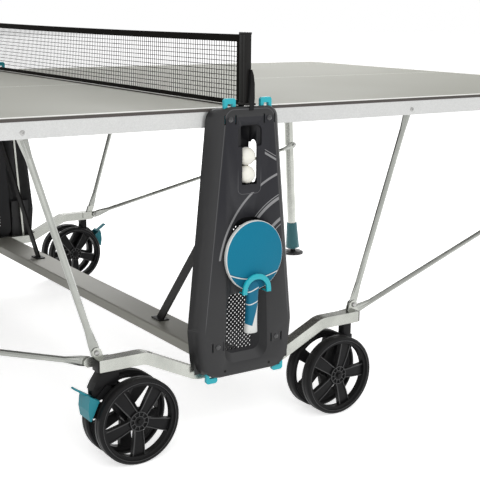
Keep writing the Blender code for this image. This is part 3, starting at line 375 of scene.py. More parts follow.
topMaterial = finish("resinLaminate", topLook, topColour)
apronMaterial = finish("coatedSteelSilver", {
    "colour": (0.665, 0.67, 0.66), "drift": 0.09, "roughness": 0.36, "metallic": 0.45, "grain": (500, 12),
    "bump": (0.4, 0.0004), "cells": 0.24})
tubeMaterial = finish("galvanisedTube", {
    "colour": (0.45, 0.46, 0.425), "drift": 0.45, "roughness": 0.24, "metallic": 0.9, "grain": (60, 11),
    "bump": (0.1, 0.0004), "cells": 0.08, "dust": 0.06})
strutMaterial = finish("galvanisedStrut", {
    "colour": (0.37, 0.38, 0.355), "drift": 0.45, "roughness": 0.2, "metallic": 0.9, "grain": (60, 9),
    "bump": (0.1, 0.0004), "cells": 0.08, "dust": 0.05})
beamMaterial = finish("taupeBeam", {
    "colour": (0.285, 0.28, 0.245), "drift": 0.05, "roughness": 0.45, "metallic": 0.25, "grain": (700, 4),
    "bump": (0.25, 0.0002), "dust": 0.12})
blackSteel = finish("blackSteel", {
    "colour": (0.0125, 0.012, 0.0115), "drift": 0.2, "roughness": 0.4, "grain": (600, 12),
    "bump": (0.25, 0.0004), "dust": 0.03, "specular": 0.16})
wheelMaterial = finish("casterPlastic", {
    "colour": (0.0085, 0.0085, 0.009), "drift": 0.25, "roughness": 0.36, "grain": (900, 20),
    "bump": (0.2, 0.0002), "dust": 0.03, "specular": 0.14})
# lighter black on the hub's webs, the spokes' ribs and the raised rings: a painted highlight on their edges
wheelHighlight = finish("casterPaintedHighlight", {
    "colour": (0.038, 0.038, 0.039), "drift": 0.25, "roughness": 0.3, "grain": (900, 40),
    "bump": (0.1, 0.0004)})
turquoise = finish("turquoisePlastic", {
    "colour": (0.008, 0.44, 0.52), "drift": 0.06, "roughness": 0.34, "grain": (900, 18),
    "bump": (0.1, 0.0001), "coat": 0.15})

pedalLook = {
    "colour": (0.02, 0.245, 0.3), "drift": 0.08, "roughness": 0.38, "grain": (900, 18), "specular": 0.3,
    "bump": (0.15, 0.0001), "cheekColour": (0.0085, 0.0085, 0.009), "cheekSlope": 0.69,
}


def pedalColour(tree, base):
    # the cheeks that reach up to the pivot are black like the fork
    x, y, z = coordinates(tree)
    out = minus(calc("ABSOLUTE", x), casterPlace["along"])
    up = minus(z, casterPlace["height"])
    above = calc("MULTIPLY_ADD", out, -pedalLook["cheekSlope"], up)
    return blendColour(band(above, 0.0002, 1.0, 0.0002), base, pedalLook["cheekColour"])


pedalPlastic = finish("pedalPlastic", pedalLook, pedalColour)

# accessory panel: charcoal moulding with a printed design and a perforated recess
panelLook = {
    "colour": (0.033, 0.033, 0.034), "drift": 0.08, "roughness": 0.44, "grain": (1100, 7), "specular": 0.28,
    "bump": (0.3, 0.0002), "print": (0.0125, 0.0125, 0.0165),
    # painted shade for the hollows and recess walls, painted highlights for the recess's sloping foot and the
    # lines along the edges
    "hollow": (0.0075, 0.0075, 0.009), "wall": (0.012, 0.012, 0.013), "ledgeHighlight": (0.078, 0.078, 0.08),
    "edge": (0.1, 0.1, 0.105), "stripe": (0.27, 0.27, 0.275),
    # the front, and the printed field: its slanting side edge, height and the fade at its foot
    "front": 0.7988, "taper": 0.105, "printSide": 0.1385, "printHeight": (0.3, 0.742),
    "printFade": (0.34, 0.56),
    # arcs as radius and width, bars as levels of a slanted measure, and the channel that stays unprinted
    "arcCentre": (0.15, 0.395), "arcHeight": (0.43, 0.64),
    "arcs": ((0.118, 0.0022), (0.127, 0.007), (0.172, 0.007), (0.182, 0.002), (0.226, 0.005)),
    "barSlope": 0.55, "bars": ((0.68, 0.685), (0.689, 0.6905)), "barReach": (0.04, 0.072),
    "channelHalf": 0.029, "channelFoot": 0.575,
    # depth, half width and height of the floor and mouth, painted dark as shade, and of the recess sides,
    # painted with shade and a highlight
    "floor": ((0.77, 0.7835), 0.06), "mouth": ((0.762, 0.798), 0.035, (0.55, 0.73)),
    "recess": ((0.7837, 0.7994), 0.068, (0.186, 0.356)),
    # slots beside the latches, by their middle, painted dark as the shade inside them
    "slots": ((0.037, 0.7365), (0.064, 0.7365), (0.065, 0.2325), (0.093, 0.2325)),
    "slotHalf": (0.0021, 0.0105),
    # painted highlight lines along the rim of the front and round the moulded step of the channel
    "rimSide": 0.1413, "rimTop": 0.759, "rimRound": 0.02, "rimFoot": 0.28,
    "stepHalf": 0.03, "stepFoot": 0.573, "stepRound": 0.012, "stepTop": 0.62,
    # holes in the floor, and the field they fill
    "holePitch": 0.0104, "holeRow": 0.0052, "holeRadius": 0.0023, "holeDepth": (0.777, 0.7828),
    "holeLeft": 0.0405, "holeLean": -0.055, "holeRight": 0.0215, "holeHeight": (0.214, 0.5),
}


def panelPrint(tree, base, x, z, front):
    # a darker field with arcs round a point off the lower right, and short slanted bars
    look = panelLook
    across = calc("ABSOLUTE", x)
    edge = calc("MULTIPLY_ADD", z, -look["taper"], look["printSide"])
    inside = band(minus(edge, across), 0.0, 1.0, 0.0004)
    foot, full = look["printFade"]
    fade = addNode(tree, "ShaderNodeMapRange", inputs={"From Min": foot, "From Max": full})
    plug(z, fade, "Value")
    region = times(front, inside, band(z, *look["printHeight"], 0.002))
    darkened = blendColour(times(region, fade.outputs[0]), base, look["print"])
    middle, level = look["arcCentre"]
    away = diagonal(minus(x, middle), minus(z, level))
    arcs = largest(*(band(away, radius, radius + width) for radius, width in look["arcs"]))
    arcs = times(arcs, band(z, *look["arcHeight"], 0.0004))
    slanted = calc("MULTIPLY_ADD", x, look["barSlope"], z)
    bars = largest(*(band(slanted, *limits) for limits in look["bars"]))
    bars = times(bars, band(x, *look["barReach"]))
    marks = times(largest(arcs, bars), region)
    beside = minus(1.0, band(across, -1.0, look["channelHalf"]))
    below = band(z, 0.0, look["channelFoot"])
    marks = times(marks, largest(beside, below))
    return blendColour(marks, darkened, look["stripe"])


def panelColour(tree, base):
    look = panelLook
    x, y, z = coordinates(tree)
    across, inward = calc("ABSOLUTE", x), calc("ABSOLUTE", y)
    front = band(inward, look["front"], 2.0, 0.0002)
    printed = panelPrint(tree, base, x, z, front)
    # painted shade on the sides of the recess, and a painted highlight on its sloping foot, chosen by the way
    # each face looks
    depth, half, height = look["recess"]
    walls = zone((inward, *depth), (z, *height, 0.001), (across, -1.0, half, 0.001))
    foot = band(vectorParts(tree, "ShaderNodeNewGeometry", "Normal")["Z"], 0.35, 2.0, 0.15)
    printed = blendColour(walls, printed, blendColour(foot, look["wall"], look["ledgeHighlight"]))
    # painted shade: the hollows behind the front are painted darkest, and so are the slots beside each latch
    depth, half = look["floor"]
    hollowShade = [zone((inward, *depth), (across, -1.0, half, 0.001))]
    depth, half, height = look["mouth"]
    hollowShade.append(zone((inward, *depth), (across, -1.0, half, 0.001), (z, *height, 0.0005)))
    wide, high = look["slotHalf"]
    for out, up in look["slots"]:
        hollowShade.append(zone((across, out - wide, out + wide), (z, up - high, up + high, 0.0006)))
    shaded = blendColour(largest(*hollowShade), printed, look["hollow"])
    # painted highlight lines where the front edge turns and along the moulded step round the ball channel
    side = plus(across, calc("MULTIPLY_ADD", z, look["taper"], -look["rimSide"]))
    rim = boxDistance(side, minus(z, look["rimTop"]), look["rimRound"])
    rimHighlight = zone((rim, -0.001, 0.0004), (z, look["rimFoot"], 1.0, 0.02))
    step = boxDistance(minus(across, look["stepHalf"]),
                       minus(look["stepFoot"], z), look["stepRound"])
    stepHighlight = zone((step, -0.0006, 0.0005, 0.0002), (z, 0.0, look["stepTop"], 0.02))
    edges = largest(rimHighlight, times(stepHighlight, front))
    return blendColour(edges, shaded, look["edge"])


def panelHoles(material):
    # staggered rows of small round holes in the floor of the recess
    look, tree = panelLook, material.node_tree
    x, y, z = coordinates(tree)
    pitch, row = look["holePitch"], look["holeRow"]
    holes = []
    for shift in (0.0, 0.5):
        u = calc("PINGPONG", plus(x, 1.0 + shift * pitch), pitch / 2)
        v = calc("PINGPONG", plus(z, 1.0 + shift * 2 * row), row)
        holes.append(band(diagonal(u, v), -1.0, look["holeRadius"], 0.0002))
    left = minus(times(z, look["holeLean"]), x)
    field = zone((left, -1.0, look["holeLeft"], 0.0001), (x, -1.0, look["holeRight"], 0.0001),
                 (z, *look["holeHeight"], 0.0001), (calc("ABSOLUTE", y), *look["holeDepth"], 0.0002))
    mask = times(largest(*holes), field)
    plug(calc("SUBTRACT", 1.0, mask, clamp=True), tree.nodes["Principled BSDF"], "Alpha")


panelMaterial = finish("charcoalMoulding", panelLook, panelColour)
panelHoles(panelMaterial)

panelShape = {
    # outlines in X and Z, depths as distances from the table's middle
    "backing": ((-0.07, 0.181), (0.062, 0.181), (0.045, 0.526), (-0.048, 0.526)),
    "backingRadii": (0.02, 0.02, 0.03, 0.03), "backingDepth": (0.7785, 0.79995),
    # each recess: outline at the front, outline at the floor, corner radii
    "recesses": ((((-0.0635, 0.189), (0.056, 0.189), (0.05, 0.35), (-0.054, 0.35)),
                  ((-0.052, 0.2085), (0.045, 0.2085), (0.0395, 0.345), (-0.0425, 0.345)),
                  (0.026, 0.026, 0.016, 0.016)),
                 (((-0.05, 0.395), (0.046, 0.395), (0.04, 0.521), (-0.042, 0.521)),
                  ((-0.046, 0.399), (0.042, 0.399), (0.036, 0.518), (-0.038, 0.518)),
                  (0.012, 0.012, 0.032, 0.032))),
    "floor": 0.782, "front": 0.8, "clear": 0.805, "floorRadius": 0.85,
    "mouthHalf": 0.0308, "mouthHeight": (0.677, 0.724), "mouthRadii": (0.004, 0.004, 0.0135, 0.0135),
    "mouthBack": 0.7945, "cheekReach": (0.0215, 0.034), "cheekDepth": (0.7925, 0.7965),
    "cheekPast": (0.005, 0.004),
    # cover behind the lower latches
    "cover": ((0.064, 0.7765, 0.17), (0.127, 0.7776, 0.3)),
}


def makePanel(side, sign):
    # the moulding as built, with a drafted recess, a wider mouth and a floor on which fine holes can be drawn
    shape = panelShape
    piece = addObject(f"panelMoulding_{side}", nodes[f"panel_{side}"].data.copy())
    solid, hollow = bmesh.new(), bmesh.new()
    prism(solid, rounded(shape["backing"], shape["backingRadii"]), *(sign * y for y in shape["backingDepth"]))
    for frontLine, floorLine, radii in shape["recesses"]:
        outer = rounded(frontLine, radii)
        inner = rounded(floorLine, [r * shape["floorRadius"] for r in radii])
        skin(hollow, [[(x, sign * y, z) for x, z in outline] for outline, y in
                      ((inner, shape["floor"]), (outer, shape["front"]), (outer, shape["clear"]))])
    half, (low, high) = shape["mouthHalf"], shape["mouthHeight"]
    prism(hollow, rounded(rectangle(-half, half, low, high), shape["mouthRadii"]),
          sign * shape["mouthBack"], sign * shape["clear"])
    (near, far), (back, front), (under, over) = shape["cheekReach"], shape["cheekDepth"], shape["cheekPast"]
    for end in (-1, 1):
        block(solid, (end * near, sign * back, low - under), (end * far, sign * front, high + over))
    combine(piece, solid, "UNION", use_self=True)
    combine(piece, hollow, "DIFFERENCE", use_self=True)
    setMaterial(piece, panelMaterial)
    smooth(piece.data)
    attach(piece, "chassis")
    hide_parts(f"panel_{side}")


def makeLatchCover(side, sign):
    # plain cover behind the lower latches, outside the guide shoes' path
    bm = bmesh.new()
    for end in (-1, 1):
        block(bm, *((end * x, sign * y, z) for x, y, z in panelShape["cover"]))
    cover = newObject(f"latchCover_{side}", bm, panelMaterial)
    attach(cover, "chassis")


for side, sign in sides.items():
    makePanel(side, sign)
    makeLatchCover(side, sign)
print("panels made")

netLook = {
    "halfSpan": 0.759, "bottom": 0.7632, "height": 0.1522, "sag": 0.003, "columns": 146, "rows": 12,
    "cord": 0.0014, "cordDepth": 0.0008, "topTape": 0.0158, "bottomTape": 0.01, "endTape": 0.014,
    "thickness": 0.0016, "thinner": 0.8, "steps": 30,
}
netMaterial = finish("blackNetting", {
    "colour": (0.0095, 0.0085, 0.0075), "drift": 0.2, "roughness": 0.8, "grain": (1500, 30),
    "bump": (0.5, 0.0003), "specular": 0.05})


def netHeight(y, z):
    share = (z - netLook["bottom"]) / netLook["height"]
    return z - netLook["sag"] * share * (1 - (y / netLook["halfSpan"]) ** 2)


def netStrip(bm, y0, y1, z0, z1, depth, pieces):
    # flat strip of the net that follows its sag
    rings = []
    for k in range(pieces + 1):
        y = y0 + (y1 - y0) * k / pieces
        rings.append([(x, y, netHeight(y, z)) for x, z in rectangle(-depth, depth, z0, z1)])
    skin(bm, rings)


def makeNet():
    look = netLook
    bm = bmesh.new()
    half, low, steps = look["halfSpan"], look["bottom"], look["steps"]
    high = low + look["height"]
    first, last = low + look["bottomTape"], high - look["topTape"]
    tape, cord, depth = look["thickness"] / 2, look["cord"] / 2, look["cordDepth"] / 2
    netStrip(bm, -half, half, last, high, tape, steps)
    netStrip(bm, -half, half, low, first, tape * look["thinner"], steps)
    span = half - look["endTape"]
    for start, stop in ((-half, -span), (span, half)):
        netStrip(bm, start, stop, first, last, tape * look["thinner"], 1)
    for k in range(1, look["rows"]):
        z = first + (last - first) * k / look["rows"]
        netStrip(bm, -half, half, z - cord, z + cord, depth, steps)
    for k in range(1, look["columns"]):
        y = -span + 2 * span * k / look["columns"]
        netStrip(bm, y - cord, y + cord, first, last, depth, 1)
    net = newObject("netAndTapes", bm, netMaterial)
    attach(net, "chassis")
    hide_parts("net")


postLook = {
    # two bars of the column: inner and outer Y, half width
    "bars": ((0.7645, 0.7805, 0.0066), (0.7812, 0.7905, 0.0076)),
    "barHeight": (0.766, 0.918), "barEdge": 0.0012,
    # cap, foot plate and hook, as opposite corners
    "blocks": (((-0.0079, 0.764, 0.9155), (0.0079, 0.7912, 0.9205)),
               ((-0.0125, 0.769, 0.7657), (0.0125, 0.802, 0.7708)),
               ((-0.0075, 0.7632, 0.742), (0.0075, 0.765, 0.769))), "blockEdge": 0.0007,
    # strap: height, outer Y, depth, left and right
    "strap": ((0.7555, 0.802, 0.0014, -0.003, 0.0075), (0.769, 0.8022, 0.0016, -0.004, 0.0085),
              (0.779, 0.8024, 0.011, -0.002, 0.0098), (0.812, 0.802, 0.011, 0.0000, 0.0094),
              (0.83, 0.8002, 0.009, 0.001, 0.008), (0.842, 0.7975, 0.006, 0.002, 0.0055)),
    "tooth": ((0.0017, 0.0), (0.0013, 0.0007), (0.0, 0.0009)), "teeth": 7, "toothPitch": 0.0075,
    "firstTooth": (0.0045, 0.8016, 0.78),
}


def makePost(side, sign):
    # column with a groove, its cap and foot, and the toothed strap that tightens the net
    look = postLook
    bm = bmesh.new()
    for low, high, half in look["bars"]:
        ring = rectangle(-half, half, sign * low, sign * high)
        skin(bm, [[(x, y, z) for x, y in ring] for z in look["barHeight"]])
    upright = [e for e in bm.edges if abs(e.verts[0].co.z - e.verts[1].co.z) > 0.1]
    softenEdges(bm, look["barEdge"], upright)
    column = newObject(f"postColumn_{side}", bm, blackSteel)
    bm = bmesh.new()
    for corners in look["blocks"]:
        block(bm, *((x, sign * y, z) for x, y, z in corners))
    softenEdges(bm, look["blockEdge"])
    capAndFoot = newObject(f"postCapAndFoot_{side}", bm, blackSteel)
    bm = bmesh.new()
    skin(bm, [[(x, sign * y, z) for x, y in rectangle(left, right, reach - depth, reach)]
              for z, reach, depth, left, right in look["strap"]])
    x, y, z = look["firstTooth"]
    for k in range(look["teeth"]):
        spin(bm, look["tooth"], 8, facing((x, sign * y, z + look["toothPitch"] * k), (0, sign, 0)))
    strap = newObject(f"postStrap_{side}", bm, wheelMaterial)
    for piece in (column, capAndFoot, strap):
        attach(piece, "chassis")
        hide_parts(f"net_post_{side}")


for side, sign in sides.items():
    makePost(side, sign)
makeNet()
print("net made")

wheelLook = {
    # profiles as radius and distance from the middle: half of the tread, hub, washer and hexagon bolt
    "tread": ((0.0964, 0.0025), (0.0972, 0.0035), (0.0972, 0.0104), (0.096, 0.0129), (0.0932, 0.0149),
              (0.0895, 0.0149), (0.0885, 0.0137), (0.0865, 0.0094), (0.08, 0.0087)),
    "hub": ((0.0063, -0.0205), (0.0148, -0.0205), (0.0165, -0.0109), (0.0222, -0.0059), (0.0222, 0.0087),
            (0.02, 0.0087), (0.02, 0.0059), (0.011, 0.0059), (0.011, 0.0089), (0.0063, 0.0089)),
    "washer": ((0.0, 0.0072), (0.0098, 0.0072), (0.0098, 0.0092), (0.0, 0.0092)),
    "bolt": ((0.0, 0.0092), (0.0058, 0.0092), (0.0058, 0.0128), (0.0048, 0.0138), (0.0, 0.0138)),
    # raised rings on lip, hub and bolt seat, painted lighter as a highlight: radius, width and level
    "rings": ((0.0889, 0.0011, 0.0149), (0.0224, 0.0016, 0.0093), (0.0122, 0.0012, 0.0089)),
    "ringDepth": 0.0012,
    # webs of the hub: inner and outer radius, half thickness, back and depth
    "web": (0.0105, 0.0212, 0.0007, 0.0058, 0.003),
    # along a spoke: distance from the axle, half width, back and front
    "spoke": ((0.019, 0.0108, -0.004, 0.0044), (0.03, 0.0112, -0.005, 0.005),
              (0.048, 0.013, -0.006, 0.0052), (0.066, 0.0142, -0.007, 0.004),
              (0.077, 0.015, -0.0078, 0.0028), (0.0845, 0.017, -0.0082, 0.002)),
    # a rib's width, and from the spoke's front its root and its rise at the inner and outer edge
    "rib": (0.0019, -0.001, 0.0026, 0.0022),
    "spokes": 5, "webs": 10, "segments": 72, "hubSegments": 40, "washerSegments": 24, "smoothAngle": 30,
    "turn": {"near_left": -90.0, "near_right": 0.0, "far_left": 20.0, "far_right": -90.0},
}


def wheelBmesh():
    # +Z is the outer face
    look = wheelLook
    bm = bmesh.new()
    otherHalf = [(radius, -level) for radius, level in reversed(look["tread"])]
    spin(bm, [*look["tread"], *otherHalf], look["segments"], closedProfile=True)
    spin(bm, look["hub"], look["hubSegments"], closedProfile=True)
    # the webs, ribs and rings take the second material, the painted highlight
    near, far, thick, low, depth = look["web"]
    for k in range(look["webs"]):
        turn = Matrix.Rotation(2 * math.pi * k / look["webs"], 4, "Z")
        skin(bm, [[turn @ Vector((x, y, z)) for x, y in rectangle(near, far, -thick, thick)]
                  for z in (low, low + depth)], materialIndex=1)
    thick, root, inside, outside = look["rib"]
    for k in range(look["spokes"]):
        turn = Matrix.Rotation(2 * math.pi * k / look["spokes"], 4, "Z")
        rings, ribs = [], {-1: [], 1: []}
        for away, wide, low, high in look["spoke"]:
            rings.append([turn @ Vector((away, y, z)) for y, z in rectangle(-wide, wide, low, high)])
            for edge, rib in ribs.items():
                rib.append([turn @ Vector((away, edge * y, high + lift)) for y, lift in (
                    (wide, root), (wide - thick, root), (wide - thick, inside), (wide, outside))])
        skin(bm, rings)
        for rib in ribs.values():
            skin(bm, rib, materialIndex=1)
    for radius, width, level in look["rings"]:
        spin(bm, rectangle(radius - width, radius, level - look["ringDepth"], level), look["segments"],
             closedProfile=True, materialIndex=1)
    spin(bm, look["washer"], look["washerSegments"])
    spin(bm, look["bolt"], 6)
    return bm


def makeWheels():
    look = wheelLook
    mesh = newMesh("spokedWheel", wheelBmesh(), wheelMaterial, wheelHighlight, smoothAngle=look["smoothAngle"])
    for side, end, sideSign, endSign in cornerSigns:
        for place, placeSign in (("outer", 1), ("inner", -1)):
            piece = addObject(f"spokedWheel_{side}_{end}_{place}", mesh)
            outward = sideSign * placeSign
            tilt = Matrix.Rotation(-outward * math.pi / 2, 4, "X")
            turn = Matrix.Rotation(-outward * math.radians(look["turn"][f"{side}_{end}"]), 4, "Z")
            plane = casterPlace["across"] + placeSign * casterPlace["wheelOffset"]
            centre = Vector((endSign * casterPlace["along"], sideSign * plane, casterPlace["height"]))
            piece.matrix_world = Matrix.Translation(centre) @ tilt @ turn
            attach(piece, f"wheel_body_{side}_{end}_{place}")
            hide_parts(f"wheel_{side}_{end}_{place}")


forkLook = {
    "stem": (0.3115, 0.3345), "stemHalf": 0.0105, "stemHeight": (0.18, 0.2141), "armHalf": 0.01,
    "hoodHalf": 0.0152, "edge": 0.001, "axleRadius": 0.006, "axleHalf": 0.042,
    # outlines in X and Z
    "arm": ((0.2586, 0.0873), (0.2746, 0.0783), (0.2926, 0.0893), (0.339, 0.15), (0.339, 0.184),
            (0.309, 0.188), (0.293, 0.174), (0.2566, 0.1073)),
    "web": ((0.31, 0.192), (0.309, 0.16), (0.339, 0.15), (0.3549, 0.154), (0.3713, 0.1655),
            (0.3718, 0.1772), (0.36, 0.19)),
    "hood": ((0.3085, 0.19), (0.345, 0.19), (0.356, 0.1775), (0.3722, 0.1766), (0.364, 0.1925),
             (0.35, 0.213), (0.3085, 0.213)),
}


def makeForks():
    # twin-wheel fork: arm between the wheels and a square stem; the near left one is hooded down to its pedal
    look = forkLook
    for side, end, sideSign, endSign in cornerSigns:
        middle = sideSign * casterPlace["across"]
        bm = bmesh.new()
        shapes = [("arm", look["armHalf"])]
        if (side, end) == ("near", "left"):
            shapes += [("web", look["armHalf"]), ("hood", look["hoodHalf"])]
        for outline, half in shapes:
            prism(bm, [(endSign * x, z) for x, z in look[outline]], middle - half, middle + half)
        block(bm, *((endSign * x, y, z) for x, y, z in zip(
            look["stem"], (middle - look["stemHalf"], middle + look["stemHalf"]), look["stemHeight"])))
        softenEdges(bm, look["edge"])
        radius, reach = look["axleRadius"], look["axleHalf"]
        spin(bm, rectangle(0.0, radius, -reach, reach), 20,
             facing((endSign * casterPlace["along"], middle, casterPlace["height"]), (0, 1, 0)))
        fork = newObject(f"casterFork_{side}_{end}", bm, wheelMaterial)
        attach(fork, f"caster_{side}_{end}")
        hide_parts(f"caster_fork_{side}_{end}")


shoeLook = {"angles": (11.0, 17.0, 23.0, 29.0, 33.5), "inner": 0.089, "outer": 0.1042, "half": 0.0155}


def makeBrakeShoes():
    # shoe under each pedal, between the two wheels
    look = shoeLook
    for side, end in (("near", "left"), ("far", "right")):
        angles = [math.radians(angle) for angle in look["angles"]]
        inner, outer = ([(ends[end] * (casterPlace["along"] + reach * math.cos(angle)),
                          casterPlace["height"] + reach * math.sin(angle)) for angle in angles]
                        for reach in (look["inner"], look["outer"]))
        bm = bmesh.new()
        middle = sides[side] * casterPlace["across"]
        prism(bm, outer + inner[::-1], middle - look["half"], middle + look["half"])
        shoe = newObject(f"brakeShoe_{side}_{end}", bm, wheelMaterial)
        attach(shoe, f"pedal_{side}_{end}")


makeWheels()
makeForks()
makeBrakeShoes()
print("casters made")

batLook = {
    "centre": (0.0095, -0.8058, 0.434), "tilt": 2.0, "radius": 0.0755, "length": 0.159,
    # rim of the blade: distance from its middle, and how far it draws in
    "rim": ((-0.0055, 0.0016), (-0.0049, 0.0006), (-0.0033, 0.0), (0.0033, 0.0), (0.0049, 0.0006),
            (0.0055, 0.0016)),
    "face": (0.0065, 0.175, 0.29), "dot": (0.013, 0.245, 0.38), "band": (0.006, 0.12, 0.205),
    "pale": (0.78, 0.79, 0.77), "handleColour": (0.01, 0.16, 0.27),
    # the face: dots, and the darker foot of the blade under a pale curved line
    "dotPitch": 0.0016, "dotSize": 0.0014, "dotShare": 0.55, "footCurve": -3.2, "foot": -0.049,
    "footShare": 0.75, "footLine": (-0.054, -0.0515),
    # the handle: pale bands across it, a pale side below them and a pale end
    "bandSlope": -0.35, "bands": ((-0.079, -0.0765), (-0.1085, -0.106)), "sideSlope": -0.272, "side": 0.04,
    "sideTop": -0.1085, "endSlope": 0.3, "end": -0.161,
    # along the handle: distance below the middle, half width and half thickness
    "handle": ((0.056, 0.023, 0.0052), (0.068, 0.019, 0.0064), (0.08, 0.015, 0.0088),
               (0.092, 0.0136, 0.0108), (0.11, 0.013, 0.0116), (0.14, 0.013, 0.0116),
               (0.165, 0.0145, 0.0118), (0.1755, 0.0154, 0.0118), (0.1775, 0.014, 0.0104)),
    "squareness": 0.72, "rimPoints": 72, "handlePoints": 28, "smoothAngle": 40,
}


def batFaceColour(tree, base):
    look = batLook
    x, y, z = coordinates(tree)
    u = calc("PINGPONG", plus(plus(x, z), 1.0), look["dotPitch"])
    v = calc("PINGPONG", plus(minus(x, z), 1.0), look["dotPitch"])
    dots = minus(1.0, band(plus(u, v), -1.0, look["dotSize"], 0.0004))
    dotted = blendColour(times(dots, look["dotShare"]), base, look["dot"])
    curve = plus(z, times(calc("POWER", x, 2.0), look["footCurve"]))
    foot = times(band(curve, -1.0, look["foot"]), look["footShare"])
    toned = blendColour(foot, dotted, look["band"])
    return blendColour(band(curve, *look["footLine"]), toned, look["pale"])


def batHandleColour(tree, base):
    look = batLook
    x, y, z = coordinates(tree)
    slanted = calc("MULTIPLY_ADD", x, look["bandSlope"], z)
    pale = [band(slanted, *limits, 0.0002) for limits in look["bands"]]
    pale.append(band(calc("MULTIPLY_ADD", x, look["endSlope"], z), -1.0, look["end"]))
    narrowing = calc("MULTIPLY_ADD", z, look["sideSlope"], x)
    pale.append(zone((narrowing, look["side"], 1.0), (z, -1.0, look["sideTop"], 0.0002)))
    return blendColour(largest(*pale), base, look["pale"])


batFace = finish("batFace", {
    "colour": batLook["face"], "drift": 0.04, "roughness": 0.5, "grain": (700, 20), "specular": 0.12,
    "bump": (0.2, 0.0002)}, batFaceColour)
batEdge = finish("batEdge", {
    "colour": batLook["pale"], "drift": 0.04, "roughness": 0.45, "grain": (900, 30), "bump": (0.1, 0.0004)})
batHandle = finish("batHandle", {
    "colour": batLook["handleColour"], "drift": 0.05, "roughness": 0.42, "specular": 0.2, "grain": (900, 30),
    "bump": (0.15, 0.0004)}, batHandleColour)


def turns(count):
    # cosine and sine at even steps round a circle
    return [(math.cos(2 * math.pi * i / count), math.sin(2 * math.pi * i / count)) for i in range(count)]


def makeBat():
    look = batLook
    bm = bmesh.new()
    rings = [[((look["radius"] - shrink) * cos, y, (look["length"] / 2 - shrink) * sin)
              for cos, sin in turns(look["rimPoints"])] for y, shrink in look["rim"]]
    loops = skin(bm, rings, capped=False, materialIndex=1)
    for loop in (loops[0], loops[-1]):
        bm.faces.new(loop).material_index = 0
    rings = []
    for down, width, thick in look["handle"]:
        # squarish oval
        rings.append([(width * math.copysign(abs(cos) ** look["squareness"], cos),
                       thick * math.copysign(abs(sin) ** look["squareness"], sin), -down)
                      for cos, sin in turns(look["handlePoints"])])
    skin(bm, rings, materialIndex=2)
    bat = newObject("batBody", bm, batFace, batEdge, batHandle, smoothAngle=look["smoothAngle"])
    tilt = Matrix.Rotation(math.radians(look["tilt"]), 4, "Y")
    bat.matrix_world = Matrix.Translation(look["centre"]) @ tilt
    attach(bat, "bat_body")
    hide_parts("bat")


# what is cut off the bow's legs, and the width and least angle of its softened edges
clipLook = {"cut": ((-0.2, 0.77, 0.3), (0.2, 0.9, 0.3505)), "edge": 0.0009, "edgeAngle": 40}


def makeClip(side, sign):
    # the built bow with shorter legs and softer edges
    clip = addObject(f"batClipBow_{side}", nodes[f"bat_clip_{side}"].data.copy())
    bm = bmesh.new()
    block(bm, *((x, sign * y, z) for x, y, z in clipLook["cut"]))
    combine(clip, bm, "DIFFERENCE")
    applyModifier(clip, "BEVEL", width=clipLook["edge"], segments=2,
                  angle_limit=math.radians(clipLook["edgeAngle"]))
    setMaterial(clip, turquoise)
    smooth(clip.data)
    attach(clip, "chassis")
    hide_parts(f"bat_clip_{side}")


makeBat()
for side, sign in sides.items():
    makeClip(side, sign)

ballLook = {
    "colour": (0.93, 0.91, 0.83), "drift": 0.02, "roughness": 0.38, "grain": (700, 30),
    "bump": (0.05, 0.0004), "radius": 0.0199, "seam": 0.9975, "seamHalf": 0.0004, "subsurface": 0.15,
    "subsurfaceRadius": (0.01, 0.01, 0.008), "lowerTilt": 0.9, "upperTilt": 0.35,
}
ballMaterial = finish("ballPlastic", ballLook)
ballShader = ballMaterial.node_tree.nodes["Principled BSDF"]
ballShader.inputs["Subsurface Weight"].default_value = ballLook["subsurface"]
ballShader.inputs["Subsurface Radius"].default_value = ballLook["subsurfaceRadius"]


def makeBall(name, node, tilt):
    low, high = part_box(node)
    bm = bmesh.new()
    bmesh.ops.create_uvsphere(bm, u_segments=48, v_segments=32, radius=ballLook["radius"])
    for vert in bm.verts:
        if abs(vert.co.z) < ballLook["seamHalf"]:
            vert.co *= ballLook["seam"]
    ball = newObject(name, bm, ballMaterial)
    ball.matrix_world = Matrix.Translation((low + high) / 2) @ Matrix.Rotation(tilt, 4, "Y")
    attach(ball, f"{node}_body")
    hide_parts(node)


makeBall("ballBelow", "ball_lower", ballLook["lowerTilt"])
makeBall("ballAbove", "ball_upper", ballLook["upperTilt"])
print("bat and balls made")

boltSteel = finish("boltSteel", {
    "colour": (0.42, 0.42, 0.41), "drift": 0.1, "roughness": 0.32, "metallic": 0.9, "grain": (500, 60),
    "bump": (0.1, 0.0004)})
glossBlack = finish("glossBlack", {
    "colour": (0.012, 0.012, 0.014), "drift": 0.1, "roughness": 0.14, "grain": (900, 40),
    "bump": (0.02, 0.0004), "coat": 0.6})
# each bolt: body, place at the far right corner, facing out or in, radius, height, socket radius,
# finish and slot
frameBolts = {
    "apronBolt": ("half_{end}", (0.506, 0.7614, 0.7316), 1, 0.0052, 0.0022, 0.0022, boltSteel, "tube"),
    "armFootBolt": ("chassis", (0.352, 0.749, 0.254), 1, 0.0058, 0.004, 0.0, boltSteel, "tube"),
    "linkFootBolt": ("chassis", (0.366, 0.7275, 0.233), -1, 0.0056, 0.0036, 0.0, boltSteel, "tube"),
    "linkPinBolt": ("legs_{end}", (1.181, 0.6265, 0.444), -1, 0.0062, 0.004, 0.0, boltSteel, "tube"),
}
panelBolts = {
    "panelScrew": ("chassis", (0.06, 0.7998, 0.173), 1, 0.0032, 0.0012, 0.0014, blackSteel, "black_steel"),
    "latchBoss_upper": ("chassis", (0.0505, 0.7996, 0.7375), 1, 0.0062, 0.003, 0.0, glossBlack, "panel"),
    "latchBoss_lower": ("chassis", (0.079, 0.7996, 0.233), 1, 0.0062, 0.003, 0.0, glossBlack, "panel"),
}
